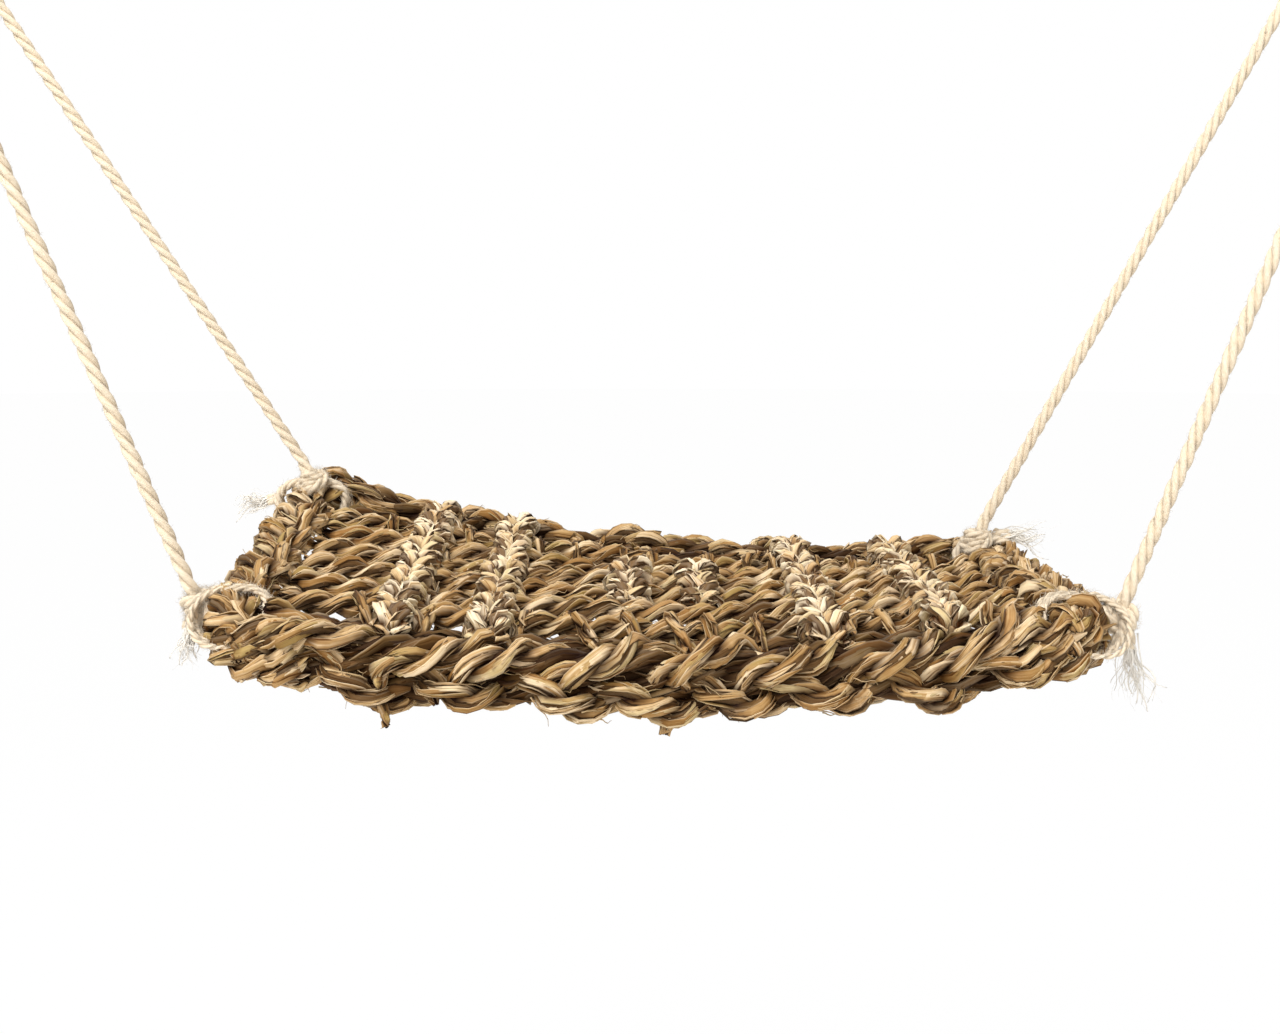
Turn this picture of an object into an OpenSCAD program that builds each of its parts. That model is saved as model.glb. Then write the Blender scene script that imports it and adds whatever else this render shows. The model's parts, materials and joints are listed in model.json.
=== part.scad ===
// Hanging rope hammock: a woven seagrass mat held by a cotton cord at each corner.
// Millimetres, +Z up, X along the mat, Y across it, -Y is the near side.
// The origin is the hanging centre: above the middle of the mat, at the mean height of the loops' seats.

/* [Mat] */
// Distance between the middles of the two end plaits
end_span = 290; // [260:2:340]
// Distance between the middles of the two border plaits
border_span = 144; // [136:2:170]
// Diameter of a two-ply warp cord
warp_d = 8.4; // [6:0.2:9]
// How far the middle of the mat sags below its corners
sag = 11; // [0:1:20]
// Height of the near corners above the mat's datum
near_rise = 2; // [0:0.5:6]
// Height of the far right corner above the mat's datum
far_right_rise = 5; // [0:0.5:10]
// Height of the far left corner above the mat's datum
far_left_rise = 33; // [0:1:40]

/* [Twist] */
// Length in which a two-ply cord turns once round
lay_length = 48; // [36:2:60]
// Depth of the groove between the plies, as a share of the cord's radius
ply_groove = 0.26; // [0.1:0.02:0.36]

/* [Border plaits] */
// Diameter of one strand of a border plait
border_strand_d = 9.4; // [6:0.2:9.6]
// How far the middle of a border plait hangs below the warp cords
border_drop = 8; // [4:0.5:10]
// How far the middle of a border plait hangs below the warp cords at its ends
border_end_drop = 3; // [0:0.5:6]

/* [End plaits] */
// Diameter of one strand of an end plait
end_strand_d = 5.6; // [4.4:0.2:6]
// Width of an end plait
end_plait_w = 20.2; // [18:0.2:22]
// How far the end plaits run past the middles of the border plaits
end_overrun = 6; // [0:0.5:8]

/* [Cross bands] */
// Diameter of one strand of a cross band
band_d = 4.4; // [3:0.2:4.8]
// Where the long cross bands lie along the mat
band_x = [-91, -58, 60, 102];
// Where the short middle ties lie along the mat
tie_x = [-9, 18];

/* [Edge stitches] */
// Diameter of the cord of a stitch that ties an outermost warp cord to its border plait
stitch_d = 4; // [3:0.2:4.4]

/* [Cotton cords] */
// Diameter of the cotton cord
cord_d = 4.5; // [3:0.1:5]
// Vertical distance between the foot and the top of every hanging cord
cord_drop = 242; // [150:2:400]
// How far each foot knot lies outside the middle of its end plait, in the order of the corners
knot_out = [16, 19, 0, 6];
// Outward lean of each cord in degrees: near left, near right, far right, far left
lean = [21.6, 20.8, 28.4, 32.2];
// How far inside the middle of a border plait the foot knots lie
foot_inset = 14.4; // [14.2:0.2:20]
// How far the near foot knots lie below the middle of their slings
near_knot_drop = 1; // [0:0.5:2]
// Radius of a hanging loop, at the middle of its cord
loop_r = 9; // [7:0.5:14]
// Length of each frayed tail, in the order of the corners
tail_length = [11, 20, 20, 14];
// Height of the hanging centre above the mat's datum
hang_height = 300; // [200:5:480]

/* [Fits] */
// Gap between the strands of one plait or band
strand_gap = 0.2; // [0.1:0.05:0.3]
// Gap between pieces that seat on each other
seat_gap = 0.3; // [0.2:0.05:0.4]

/* [Hidden] */
$fn = 32;
CORNERS = ["near_left", "near_right", "far_right", "far_left"];
SIDE_X = [-1, 1, 1, -1];
SIDE_Y = [-1, -1, 1, 1];
WARPS = 6;
STRANDS = 3;
TWO_PLY_SIDES = 8;
BAND_SIDES = 6;
grass = "#a98b57";
pale_grass = "#d9c496";
cotton = "#e1cdaa";

// Plaits: a strand swings once across the plait while it goes in and out twice.
// The slope room keeps crossing strands a gap apart where they climb past each other.
slope_room = 1.2;
function plait_depth(strand_d, pitch) =
    (strand_d + strand_gap) * (1 / sqrt(3) + slope_room * (strand_d + strand_gap) / pitch);
border_pitch_share = 10;
border_swing_share = 1.04;
border_pitch = border_pitch_share * (border_strand_d + strand_gap);
border_swing = border_swing_share * border_strand_d;
border_depth = plait_depth(border_strand_d, border_pitch);
border_half_y = border_depth + border_strand_d / 2;
warp_gap = (border_span - 2 * border_half_y) / (WARPS + 1);
first_warp_y = -warp_gap * (WARPS - 1) / 2;
end_pitch = STRANDS * warp_gap;
end_swing = (end_plait_w - end_strand_d) / 2;
end_depth = plait_depth(end_strand_d, end_pitch);
end_half_z = end_depth + end_strand_d / 2;
mat_reach = end_span / 2 - end_plait_w / 2 - seat_gap;
border_slope = atan(2 * PI * border_swing / border_pitch);
border_reach = mat_reach - sin(border_slope) * border_strand_d / 2;
end_reach = border_span / 2 + end_overrun;
border_ease = 30;

// Cross bands: two strands twine round the warp cords like a flattened double helix.
// The clearance makes up for the corners of their many-sided outlines.
band_clearance = 1.03;
band_height = band_clearance * (warp_d + band_d) / 2 + seat_gap;
band_spread = (band_d + strand_gap) / 2;
band_reach = border_span / 2 - border_half_y - seat_gap;

// Edge stitches: a ring round the outermost warp cord, and a leg to the border plait.
// A border strand lies innermost three eighths of a pitch along, and then twice a pitch for each strand.
stitch_r = stitch_d / 2;
stitch_ring_r = warp_d / 2 + seat_gap + stitch_r;
stitch_leg_share = 0.9;
stitch_start = border_pitch * 3 / 8;
stitch_step = border_pitch / (2 * STRANDS);
stitch_gap = 2 * seat_gap;
stitch_clear = band_spread + band_d / 2 + stitch_r + seat_gap;
stitch_reach = border_reach - warp_d;
first_stitch = ceil((-stitch_reach - stitch_start) / stitch_step);
last_stitch = floor((stitch_reach - stitch_start) / stitch_step);

// Slings, knots and cords; a share is a part of the cord's diameter or of the loop's radius
knot_core_share = 0.75;
wrap_rise_share = 0.78;
loop_rise_share = 2.2;
frayed_share = 1.6;
leg_bulge = 1.04;
cord_r = cord_d / 2;
foot_y = border_span / 2 - foot_inset;
beside_sling = cord_d + seat_gap;
sling_r = ceil(10 * (end_half_z + seat_gap + cord_r)) / 10;
sling_half = ceil(10 * (end_plait_w / 2 + seat_gap + cord_r - sling_r)) / 10;
tail_aside = 4;
near_knot_aside = 3.3;
knot_core = knot_core_share * cord_d;
wrap_rise = wrap_rise_share * cord_d;
foot_wraps = [3, 3, 2, 2];
top_wraps = 3;
joint_room = cord_r + seat_gap;
loop_rise = loop_rise_share * loop_r;
corner_rise = [near_rise, near_rise, far_right_rise, far_left_rise];
function knot_height(wraps) = (wraps - 1) * wrap_rise + cord_d;

// Step between rings of the swept cords
rope_step = 7;
border_step = 7;
end_step = 5;
band_rings_per_warp = 6;

// Height of the mat's middle surface: a twisted sheet through the corners, less a sag along X
function mat_z(x, y) =
    let (u = x / end_span + 0.5, v = y / border_span + 0.5)
    (1 - u) * (1 - v) * corner_rise[0]
    + u * (1 - v) * corner_rise[1]
    + u * v * corner_rise[2]
    + (1 - u) * v * corner_rise[3]
    - sag * (1 - pow(2 * x / end_span, 2))
    - hang_height;

// Evenly spaced values from a to b, at most a step apart
function spread(a, b, step) =
    let (n = ceil((b - a) / step))
    [for (i = [0:n]) a + (b - a) * i / n];

function unit(v) = v / norm(v);
function heading(path, i) = unit(path[min(i + 1, len(path) - 1)] - path[max(i - 1, 0)]);

// Radius of a two-ply cord at an angle from the line through its plies
function ply_radius(r, angle) = r * (1 - ply_groove * (1 - cos(2 * angle)) / 2);

// A cord swept along a path. Its outline turns with the lay; a lay of 0 gives a plain round cord.
module swept_cord(path, r, sides, step, lay) {
    turn = lay == 0 ? 0 : 360 * step / lay;
    points = [
        for (i = [0:len(path) - 1])
            let (ahead = heading(path, i), side = unit(cross(ahead, [0, 0, 1])), up = cross(side, ahead))
            for (j = [0:sides - 1])
                let (
                    angle = 360 * j / sides,
                    radius = lay == 0 ? r : ply_radius(r, angle),
                    place = angle + i * turn
                )
                path[i] + radius * (cos(place) * side + sin(place) * up)
    ];
    last = (len(path) - 1) * sides;
    walls = [
        for (i = [0:len(path) - 2])
            for (j = [0:sides - 1])
                let (a = i * sides + j, b = i * sides + (j + 1) % sides)
                each [[a, b, b + sides], [a, b + sides, a + sides]]
    ];
    caps = [[for (j = [sides - 1:-1:0]) j], [for (j = [0:sides - 1]) last + j]];
    polyhedron(points, concat(walls, caps), convexity = 8);
}

// Warp cords run from one end plait to the other
function warp_y(i) = first_warp_y + (i - 1) * warp_gap;

module warp_cord(i) {
    path = [for (x = spread(-mat_reach, mat_reach, rope_step)) [x, warp_y(i), mat_z(x, warp_y(i))]];
    color(grass) swept_cord(path, warp_d / 2, TWO_PLY_SIDES, rope_step, lay_length);
}

// One strand of a cross band: over one warp cord and under the next
function band_path(x, reach, way) = [
    for (y = spread(-reach, reach, warp_gap / band_rings_per_warp))
        let (phase = 180 * (y - first_warp_y) / warp_gap)
        [x + way * band_spread * sin(phase), y, mat_z(x, y) + way * band_height * cos(phase)]
];

module band(x, reach) {
    color(pale_grass)
        for (way = [-1, 1]) swept_cord(band_path(x, reach, way), band_d / 2, BAND_SIDES, 1, 0);
}

module cross_band(i) {
    band(band_x[i - 1], band_reach);
}

module middle_tie(i) {
    band(tie_x[i - 1], warp_gap);
}

// Border plaits stand on edge under the outermost edge of the mat
function border_fall(x) =
    let (t = min(1, (border_reach - abs(x)) / border_ease))
    border_end_drop + (border_drop - border_end_drop) * t * t * (3 - 2 * t);

function border_path(side, k) = [
    for (x = spread(-border_reach, border_reach, border_step))
        let (phase = 360 * (x / border_pitch + k / STRANDS), y = side * border_span / 2)
        [
            x,
            y + side * border_depth * sin(2 * phase),
            mat_z(x, y) - border_fall(x) + border_swing * sin(phase)
        ]
];

module border_strand(side, k) {
    color(grass)
        swept_cord(border_path(side, k), border_strand_d / 2, TWO_PLY_SIDES, border_step, lay_length);
}

// Numbers of the stitches: those that lie within the border's reach and clear of the cross bands
function stitch_x(n) = stitch_start + n * stitch_step;
stitches = [
    for (n = [first_stitch:last_stitch])
        if (min([for (b = band_x) abs(stitch_x(n) - b)]) > stitch_clear) n
];

// Edge stitch: its leg ends at the border strand that lies innermost there, a high one or a low one
module edge_stitch(side, n) {
    x = stitch_x(n);
    y = -side * first_warp_y;
    edge = side * border_span / 2;
    strand = [
        edge - side * border_depth,
        mat_z(x, edge) - border_fall(x) + border_swing * sin(45) * (n % 2 == 0 ? 1 : -1)
    ];
    way = strand - [y, mat_z(x, y)];
    leg = norm(way) - border_strand_d / 2 - stitch_gap;
    translate([x, y, mat_z(x, y)]) {
        rotate([0, 90, 0]) rotate_extrude() translate([stitch_ring_r, 0]) circle(r = stitch_r);
        rotate([atan2(-way[0], way[1]), 0, 0])
            translate([0, 0, stitch_ring_r])
                cylinder(h = leg - stitch_ring_r, r = stitch_leg_share * stitch_r);
    }
}

module edge_stitches(side) {
    color(grass) for (n = stitches) edge_stitch(side, n);
}

// End plaits lie flat; each inward bight of a strand meets the end of one warp cord
function end_path(side, k) = [
    for (y = spread(-end_reach, end_reach, end_step))
        let (phase = 360 * ((y - first_warp_y) / end_pitch + k / STRANDS) + 90, x = side * end_span / 2)
        [x - side * end_swing * sin(phase), y, mat_z(x, y) + end_depth * sin(2 * phase)]
];

module end_strand(side, k) {
    color(grass)
        swept_cord(end_path(side, k), end_strand_d / 2, TWO_PLY_SIDES, end_step, lay_length);
}

// Middle of a foot knot: near ones are tied to the outer side of their slings, far ones to the top
function knot_place(c) =
    let (x = SIDE_X[c] * end_span / 2, y = SIDE_Y[c] * foot_y)
    [
        x + SIDE_X[c] * knot_out[c],
        y,
        mat_z(x, y) + (c < 2 ? -near_knot_drop : sling_r - cord_r + knot_height(foot_wraps[c]) / 2)
    ];

// A cord's foot and top are the middles of its ball ends, which are the axes it swings about
function foot(c) = knot_place(c) + [0, 0, knot_height(foot_wraps[c]) / 2 + joint_room];
function cord_top(c) = foot(c) + cord_drop * [SIDE_X[c] * tan(lean[c]), 0, 1];

// Length of the straight runs of a sling outwards of the middle of the plait.
// A near sling runs through the inner side of its knot, so that the cord's ball end clears it.
function sling_outer(c) = max(sling_half, knot_out[c] - (c < 2 ? sling_r + near_knot_aside : 0));

// Sling: a cotton ring round the end plait, long enough outwards to reach its foot knot
module sling(c) {
    inner = -sling_half;
    outer = sling_outer(c);
    x = SIDE_X[c] * end_span / 2;
    y = SIDE_Y[c] * foot_y;
    color(cotton)
        translate([x, y, mat_z(x, y)])
            rotate([0, 0, SIDE_X[c] < 0 ? 180 : 0]) {
                for (z = [-sling_r, sling_r])
                    translate([inner, 0, z]) rotate([0, 90, 0]) cylinder(h = outer - inner, r = cord_r);
                translate([outer, 0, 0]) rotate([90, 0, 0]) half_ring(sling_r, -90);
                translate([inner, 0, 0]) rotate([90, 0, 0]) half_ring(sling_r, 90);
            }
}

module half_ring(r, start) {
    rotate([0, 0, start]) rotate_extrude(angle = 180) translate([r, 0]) circle(r = cord_r);
}

// Wrapped knot: a core with turns of cord round it, standing on z = 0
module wrapped_knot(wraps) {
    cylinder(h = knot_height(wraps), r = knot_core);
    for (i = [0:wraps - 1])
        translate([0, 0, cord_r + i * wrap_rise])
            rotate_extrude() translate([knot_core, 0]) circle(r = cord_r);
}

module foot_knot(c) {
    color(cotton)
        translate(knot_place(c) - [0, 0, knot_height(foot_wraps[c]) / 2]) wrapped_knot(foot_wraps[c]);
}

// Frayed tails: near ones hang under their foot knots, the far left one points outwards.
// The far right one lies on the end plait beside the top run of its sling.
module tail(c) {
    x = SIDE_X[c] * end_span / 2;
    y = SIDE_Y[c] * foot_y;
    below = -knot_height(foot_wraps[c]) / 2 - seat_gap;
    beside = sling_outer(c) + sling_r + cord_r + seat_gap;
    clear_of_knot = knot_core + cord_r + 2 * seat_gap;
    color(cotton)
        if (c < 2)
            translate(knot_place(c) + [SIDE_X[c] * tail_aside, 0, below])
                mirror([0, 0, 1]) cylinder(h = tail_length[c], r1 = cord_r, r2 = frayed_share * cord_r);
        else if (c == 2)
            translate([x + knot_out[c] + clear_of_knot, y + beside_sling, mat_z(x, y) + sling_r])
                rotate([0, 90, 0]) cylinder(h = tail_length[c], r = cord_r);
        else
            translate([x - beside, y, mat_z(x, y)])
                rotate([0, -90, 0]) cylinder(h = tail_length[c], r1 = cord_r, r2 = frayed_share * cord_r);
}

// Hanging cord: a taut round cord with a ball end over its foot knot and another under its top knot
module hang_cord(c) {
    length = cord_drop / cos(lean[c]);
    color(cotton)
        translate(foot(c)) {
            sphere(r = cord_r);
            rotate([0, SIDE_X[c] * lean[c], 0]) {
                cylinder(h = length, r = cord_r);
                translate([0, 0, length]) sphere(r = cord_r);
            }
        }
}

module top_knot(c) {
    color(cotton) at_cord_top(c) wrapped_knot(top_wraps);
}

// Hanging loop: an open teardrop of cord that goes over a hook
module loop(c) {
    half_angle = asin(loop_r / loop_rise);
    leg = sqrt(loop_rise * loop_rise - loop_r * loop_r);
    color(cotton)
        at_cord_top(c)
            translate([0, 0, knot_height(top_wraps)]) {
                difference() {
                    for (way = [-1, 1]) rotate([0, way * half_angle, 0]) loop_leg(leg);
                    translate([0, 0, -cord_d]) cylinder(h = cord_d, r = 2 * cord_d);
                }
                translate([0, 0, loop_rise])
                    rotate([90, 0, 0])
                        rotate([0, 0, -half_angle])
                            rotate_extrude(angle = 180 + 2 * half_angle)
                                translate([loop_r, 0]) circle(r = cord_r);
            }
}

// Leg of a loop; its slightly swollen end joins the arch
module loop_leg(length) {
    cylinder(h = length, r = cord_r);
    translate([0, 0, length]) sphere(r = leg_bulge * cord_r);
}

module at_cord_top(c) {
    translate(cord_top(c))
        rotate([0, SIDE_X[c] * lean[c], 0])
            translate([0, 0, joint_room]) children();
}

for (i = [1:WARPS]) {
    warp_cord(i);
}
for (i = [1:len(band_x)]) {
    cross_band(i);
}
for (i = [1:len(tie_x)]) {
    middle_tie(i);
}
edge_stitches(-1);  // front_edge_stitches
edge_stitches(1);  // back_edge_stitches
for (k = [1:STRANDS]) {
    border_strand(-1, k);
    border_strand(1, k);
    end_strand(-1, k);
    end_strand(1, k);
}
for (c = [0:len(CORNERS) - 1]) {
    sling(c);
    tail(c);
    foot_knot(c);
    hang_cord(c);
    top_knot(c);
    loop(c);
}
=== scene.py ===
"""Dressed model of a hanging seagrass mat on four twisted cotton cords.

Metres, +Z up, X along the mat, -Y its near side. The origin is the hanging centre above the mat.
Every woven cord is a bundle of leaf blades laid round its plies, and every cotton cord is a
three-strand rope with loose fibres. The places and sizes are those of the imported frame.
"""

import json
import logging
import math
from dataclasses import dataclass
from enum import Enum
from typing import Iterable, Optional, Sequence, Union

import bpy
import numpy as np
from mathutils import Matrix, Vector


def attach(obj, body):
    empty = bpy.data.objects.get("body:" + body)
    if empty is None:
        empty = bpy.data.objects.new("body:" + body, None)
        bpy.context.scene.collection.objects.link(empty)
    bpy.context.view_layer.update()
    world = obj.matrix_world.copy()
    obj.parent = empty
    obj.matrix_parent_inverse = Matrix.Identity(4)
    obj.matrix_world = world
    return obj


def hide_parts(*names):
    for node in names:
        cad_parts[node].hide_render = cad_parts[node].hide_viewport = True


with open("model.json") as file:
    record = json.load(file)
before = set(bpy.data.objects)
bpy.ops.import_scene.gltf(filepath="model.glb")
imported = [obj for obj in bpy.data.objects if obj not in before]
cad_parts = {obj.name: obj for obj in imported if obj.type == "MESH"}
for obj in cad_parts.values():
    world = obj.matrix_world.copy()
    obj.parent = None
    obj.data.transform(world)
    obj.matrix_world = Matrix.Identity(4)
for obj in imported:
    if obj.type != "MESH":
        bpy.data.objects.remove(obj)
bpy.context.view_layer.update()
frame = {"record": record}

MM = 0.001
TAU = 2 * math.pi
X_AXIS = np.array([1.0, 0.0, 0.0])
Y_AXIS = np.array([0.0, 1.0, 0.0])
Z_AXIS = np.array([0.0, 0.0, 1.0])
WHITE = (1.0, 1.0, 1.0, 1.0)

# What a mesh carries for its material: a UV map whose second part runs UV_PER_METRE along the
# cord, and a colour attribute with tone, hue and openness; where openness is low the materials paint shade.
STRIP = "strip"
MARKS = "marks"
UV_PER_METRE = 100

logging.basicConfig(level=logging.INFO, format="%(name)s: %(message)s")
log = logging.getLogger("seagrass_mat")


# ---------------------------------------------------------------- curves and grids


def unit(vectors: np.ndarray) -> np.ndarray:
    """Each vector divided by its own length."""
    return vectors / np.maximum(np.linalg.norm(vectors, axis=-1, keepdims=True), 1e-12)


def smooth_step(share: np.ndarray) -> np.ndarray:
    """The S-curve 3t^2 - 2t^3 of a share held between 0 and 1."""
    held = np.clip(share, 0.0, 1.0)
    return held * held * (3 - 2 * held)


def wander(rng: np.random.Generator, along: np.ndarray, step: float, swing: float) -> np.ndarray:
    """Smooth random drift along a line.

    A random value between -swing and swing stands at every step, and the S-curve joins one value
    to the next.

    Args:
        rng: the seeded source of the values.
        along: distances along the line, of any shape.
        step: distance between two random values.
        swing: the largest drift to either side.

    Returns:
        The drift at each distance, in the shape of along.
    """
    place = (along - along.min()) / step
    cell = np.floor(place).astype(int)
    values = rng.uniform(-swing, swing, int(cell.max()) + 2)
    share = smooth_step(place - cell)
    return values[cell] * (1 - share) + values[cell + 1] * share


def straight(first: np.ndarray, last: np.ndarray, stations: int) -> np.ndarray:
    """Evenly spaced points of a straight line: first times 1 - t, plus last times t."""
    share = np.linspace(0.0, 1.0, stations)[:, None]
    return first * (1 - share) + last * share


class Route:
    """A line through space with its length and a cross frame at every station.

    side is ahead x reference and up is side x ahead, both of unit length.
    """

    def __init__(self, points: np.ndarray, reference: np.ndarray = Z_AXIS, closed: bool = False) -> None:
        """Measure the line.

        Args:
            points: stations along the line, n by 3.
            reference: a direction that the line never runs along.
            closed: whether the last station is the first one again.
        """
        steps = np.linalg.norm(np.diff(points, axis=0), axis=1)
        self.along = np.concatenate([[0.0], np.cumsum(steps)])
        self.length = float(self.along[-1])
        self.closed = closed
        self.reference = reference
        ahead = np.gradient(points, axis=0)
        if closed:
            ahead[0] = ahead[-1] = points[1] - points[-2]
        ahead = unit(ahead)
        side = unit(np.cross(ahead, reference))
        self.table = np.concatenate([points, side, np.cross(side, ahead)], axis=1)

    def place(self, s: np.ndarray, across: np.ndarray, rise: np.ndarray) -> np.ndarray:
        """Points beside the line: the station at s, plus across times side, plus rise times up.

        Args:
            s: distances along the line, of the shape of a grid without its last axis.
            across: offsets to the side, of the grid's shape.
            rise: offsets upwards, of the grid's shape.

        Returns:
            Points of the grid's shape by 3.
        """
        flat = np.clip(s, 0.0, self.length).ravel()
        rows = [np.interp(flat, self.along, column) for column in self.table.T]
        found = np.stack(rows, axis=-1).reshape(*s.shape, 1, 9)
        return found[..., :3] + across[..., None] * found[..., 3:6] + rise[..., None] * found[..., 6:9]

    def beside(self, s: np.ndarray, reach: Union[float, np.ndarray], angle: np.ndarray) -> np.ndarray:
        """One point for each row of s, at a reach from the line and an angle round it."""
        return self.place(s, (reach * np.cos(angle))[..., None], (reach * np.sin(angle))[..., None])[:, 0, 0]

    def drifted(self, rng: np.random.Generator, step: float, swing: float) -> "Route":
        """The same line with a smooth random drift to the side and upwards."""
        points = self.table[:, :3]
        fade = np.clip(np.sin(np.pi * self.along / self.length), 0.0, 1.0) ** 0.4
        across = wander(rng, self.along, step, swing) * fade
        rise = wander(rng, self.along, step, swing) * fade
        moved = points + across[:, None] * self.table[:, 3:6] + rise[:, None] * self.table[:, 6:9]
        return Route(moved, self.reference)


@dataclass
class Shell:
    """The skin of one or more lofted tubes, ready to become a mesh.

    Attributes:
        points: corners, n by 3.
        faces: blocks of faces, each block m by the number of corners of its faces.
        uv: across and along the surface, n by 2.
        marks: tone, hue and openness of each corner, n by 3, each from 0 to 1.
    """

    points: np.ndarray
    faces: list[np.ndarray]
    uv: np.ndarray
    marks: np.ndarray

    @staticmethod
    def joined(shells: Iterable["Shell"]) -> "Shell":
        """One shell that holds all the given ones."""
        parts = list(shells)
        starts = np.cumsum([0] + [len(part.points) for part in parts])
        return Shell(
            np.concatenate([part.points for part in parts]),
            [block + start for part, start in zip(parts, starts) for block in part.faces],
            np.concatenate([part.uv for part in parts]),
            np.concatenate([part.marks for part in parts]),
        )


def loft(grid: np.ndarray, uv: np.ndarray, marks: np.ndarray, ring: bool = False) -> Shell:
    """Skin over rings of points, with a flat cap on each open end.

    Args:
        grid: tubes by rings by points round a ring by 3.
        uv: the same shape, ending in 2.
        marks: the same shape, ending in 3.
        ring: whether each tube's last ring joins its first.

    Returns:
        The shell, its faces outwards.
    """
    tubes, rings, around, _ = grid.shape
    index = np.arange(tubes * rings * around).reshape(tubes, rings, around)
    following = np.roll(index, -1, axis=1) if ring else index[:, 1:]
    base = index if ring else index[:, :-1]
    quads = np.stack(
        [base, np.roll(base, -1, axis=2), np.roll(following, -1, axis=2), following], axis=-1
    ).reshape(-1, 4)
    blocks = [quads]
    if not ring:
        blocks += [index[:, 0, ::-1], index[:, -1, :]]
    points = grid.reshape(-1, 3)
    corner = points[quads[:, 0]]
    facing = np.cross(points[quads[:, 1]] - corner, points[quads[:, 2]] - corner)
    facing += np.cross(points[quads[:, 2]] - corner, points[quads[:, 3]] - corner)
    middle = grid.mean(axis=2, keepdims=True).repeat(around, axis=2).reshape(-1, 3)
    if np.sum(facing * (corner - middle[quads[:, 0]])) < 0:
        blocks = [block[:, ::-1] for block in blocks]
    return Shell(points, blocks, uv.reshape(-1, 2), marks.reshape(-1, 3))


def stacked(shape: tuple[int, ...], *layers: Union[float, np.ndarray]) -> np.ndarray:
    """Each layer carried out to every point of a grid, side by side along a last axis."""
    return np.stack([np.broadcast_to(layer, shape) for layer in layers], axis=-1)


def spread_marks(
    shape: tuple[int, ...], tone: Union[float, np.ndarray], hue: Union[float, np.ndarray],
    open_air: Union[float, np.ndarray],
) -> np.ndarray:
    """Tone, hue and openness carried out to every point of a grid and held between 0 and 1."""
    return np.clip(stacked(shape, tone, hue, open_air), 0.0, 1.0)


# ---------------------------------------------------------------- ropes of leaf blades


@dataclass(frozen=True)
class LeafStyle:
    """How leaf blades lie in a twisted cord. Lengths are in metres, and the rest are shares.

    Attributes:
        plies: plies in the cord.
        lay: length in which the cord turns once round; negative turns the other way.
        leaves: blades side by side round one ply.
        width: width of a blade.
        length: usual length of a blade.
        thickness: thickness of a blade.
        fullness: how much larger than its nominal radius the cord stands.
        shingle: how far a blade's raised edge stands over the next blade.
        stray: share of the blades whose tips stand out of the cord.
        tone: usual lightness of the blades.
        rings: sections along a blade.
        depth: how much painted shade darkens the blades, from 0 in the open to 1 deep inside.
        ragged: length over which the cord's ends open up and fray.
    """

    plies: int = 2
    lay: float = 23 * MM
    leaves: int = 6
    width: float = 2.8 * MM
    length: float = 21 * MM
    thickness: float = 0.8 * MM
    fullness: float = 1.14
    shingle: float = 0.55 * MM
    stray: float = 0.05
    tone: float = 0.5
    rings: int = 9
    depth: float = 0.0
    ragged: float = 6 * MM


# A blade's section: its top from edge to edge, then its underside back again. ON_TOP is 1 on top.
LEAF_TOP = np.linspace(-1.0, 1.0, 7)
LEAF_UNDER = np.linspace(0.5, -0.5, 2)
LEAF_ACROSS = np.concatenate([LEAF_TOP, LEAF_UNDER])
ON_TOP = np.concatenate([np.ones(len(LEAF_TOP)), np.zeros(len(LEAF_UNDER))])

# Shares of a blade's usual length: from one blade of a lane to the next, how far the first one
# starts before the cord, and the least that is kept of one cut by the cord's end.
LEAF_LAP = 0.66
LEAF_LEAD = 0.75
LEAF_LEAST = 0.22
LANE_SHIFT = 0.618
TIP_SHARE = 0.26

# Shares of the cord's radius, and of the ply's for its core.
PLY_PLACE = 0.47
PLY_SIZE = 0.53
CORE_SIZE = 0.80
CORE_TAPER = 9 * MM

# Distance between two lanes on the UV map, and the middle of a blade there, as a share of it.
LANE_STEP = 1.37
LANE_MIDDLE = 0.365


def blade_spans(length: float, style: LeafStyle, rng: np.random.Generator) -> tuple[np.ndarray, ...]:
    """Where the blades of a cord begin and end.

    In every lane of every ply a blade starts each LEAF_LAP of the usual length. Each lane is
    shifted by LANE_SHIFT of that pitch more than the one before, and each blade by a random
    quarter of it.

    Args:
        length: the cord's length.
        style: how its blades lie.
        rng: the seeded source of their variety.

    Returns:
        The ply, the lane, the begin and the end of each blade.
    """
    pitch = LEAF_LAP * style.length
    per_lane = int(math.ceil(length / pitch)) + 1
    counts = np.arange(style.plies), np.arange(style.leaves), np.arange(per_lane)
    ply, lane, order = (grid.ravel() for grid in np.meshgrid(*counts, indexing="ij"))
    own = style.length * rng.uniform(0.7, 1.4, len(ply))
    begin = (order + (lane * LANE_SHIFT) % 1 + rng.uniform(-0.25, 0.25, len(ply))) * pitch
    begin = begin - LEAF_LEAD * style.length
    low = np.clip(begin, 0, length)
    high = np.clip(begin + own, 0, length)
    kept = high - low > LEAF_LEAST * style.length
    return ply[kept], lane[kept], low[kept], high[kept]


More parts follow.
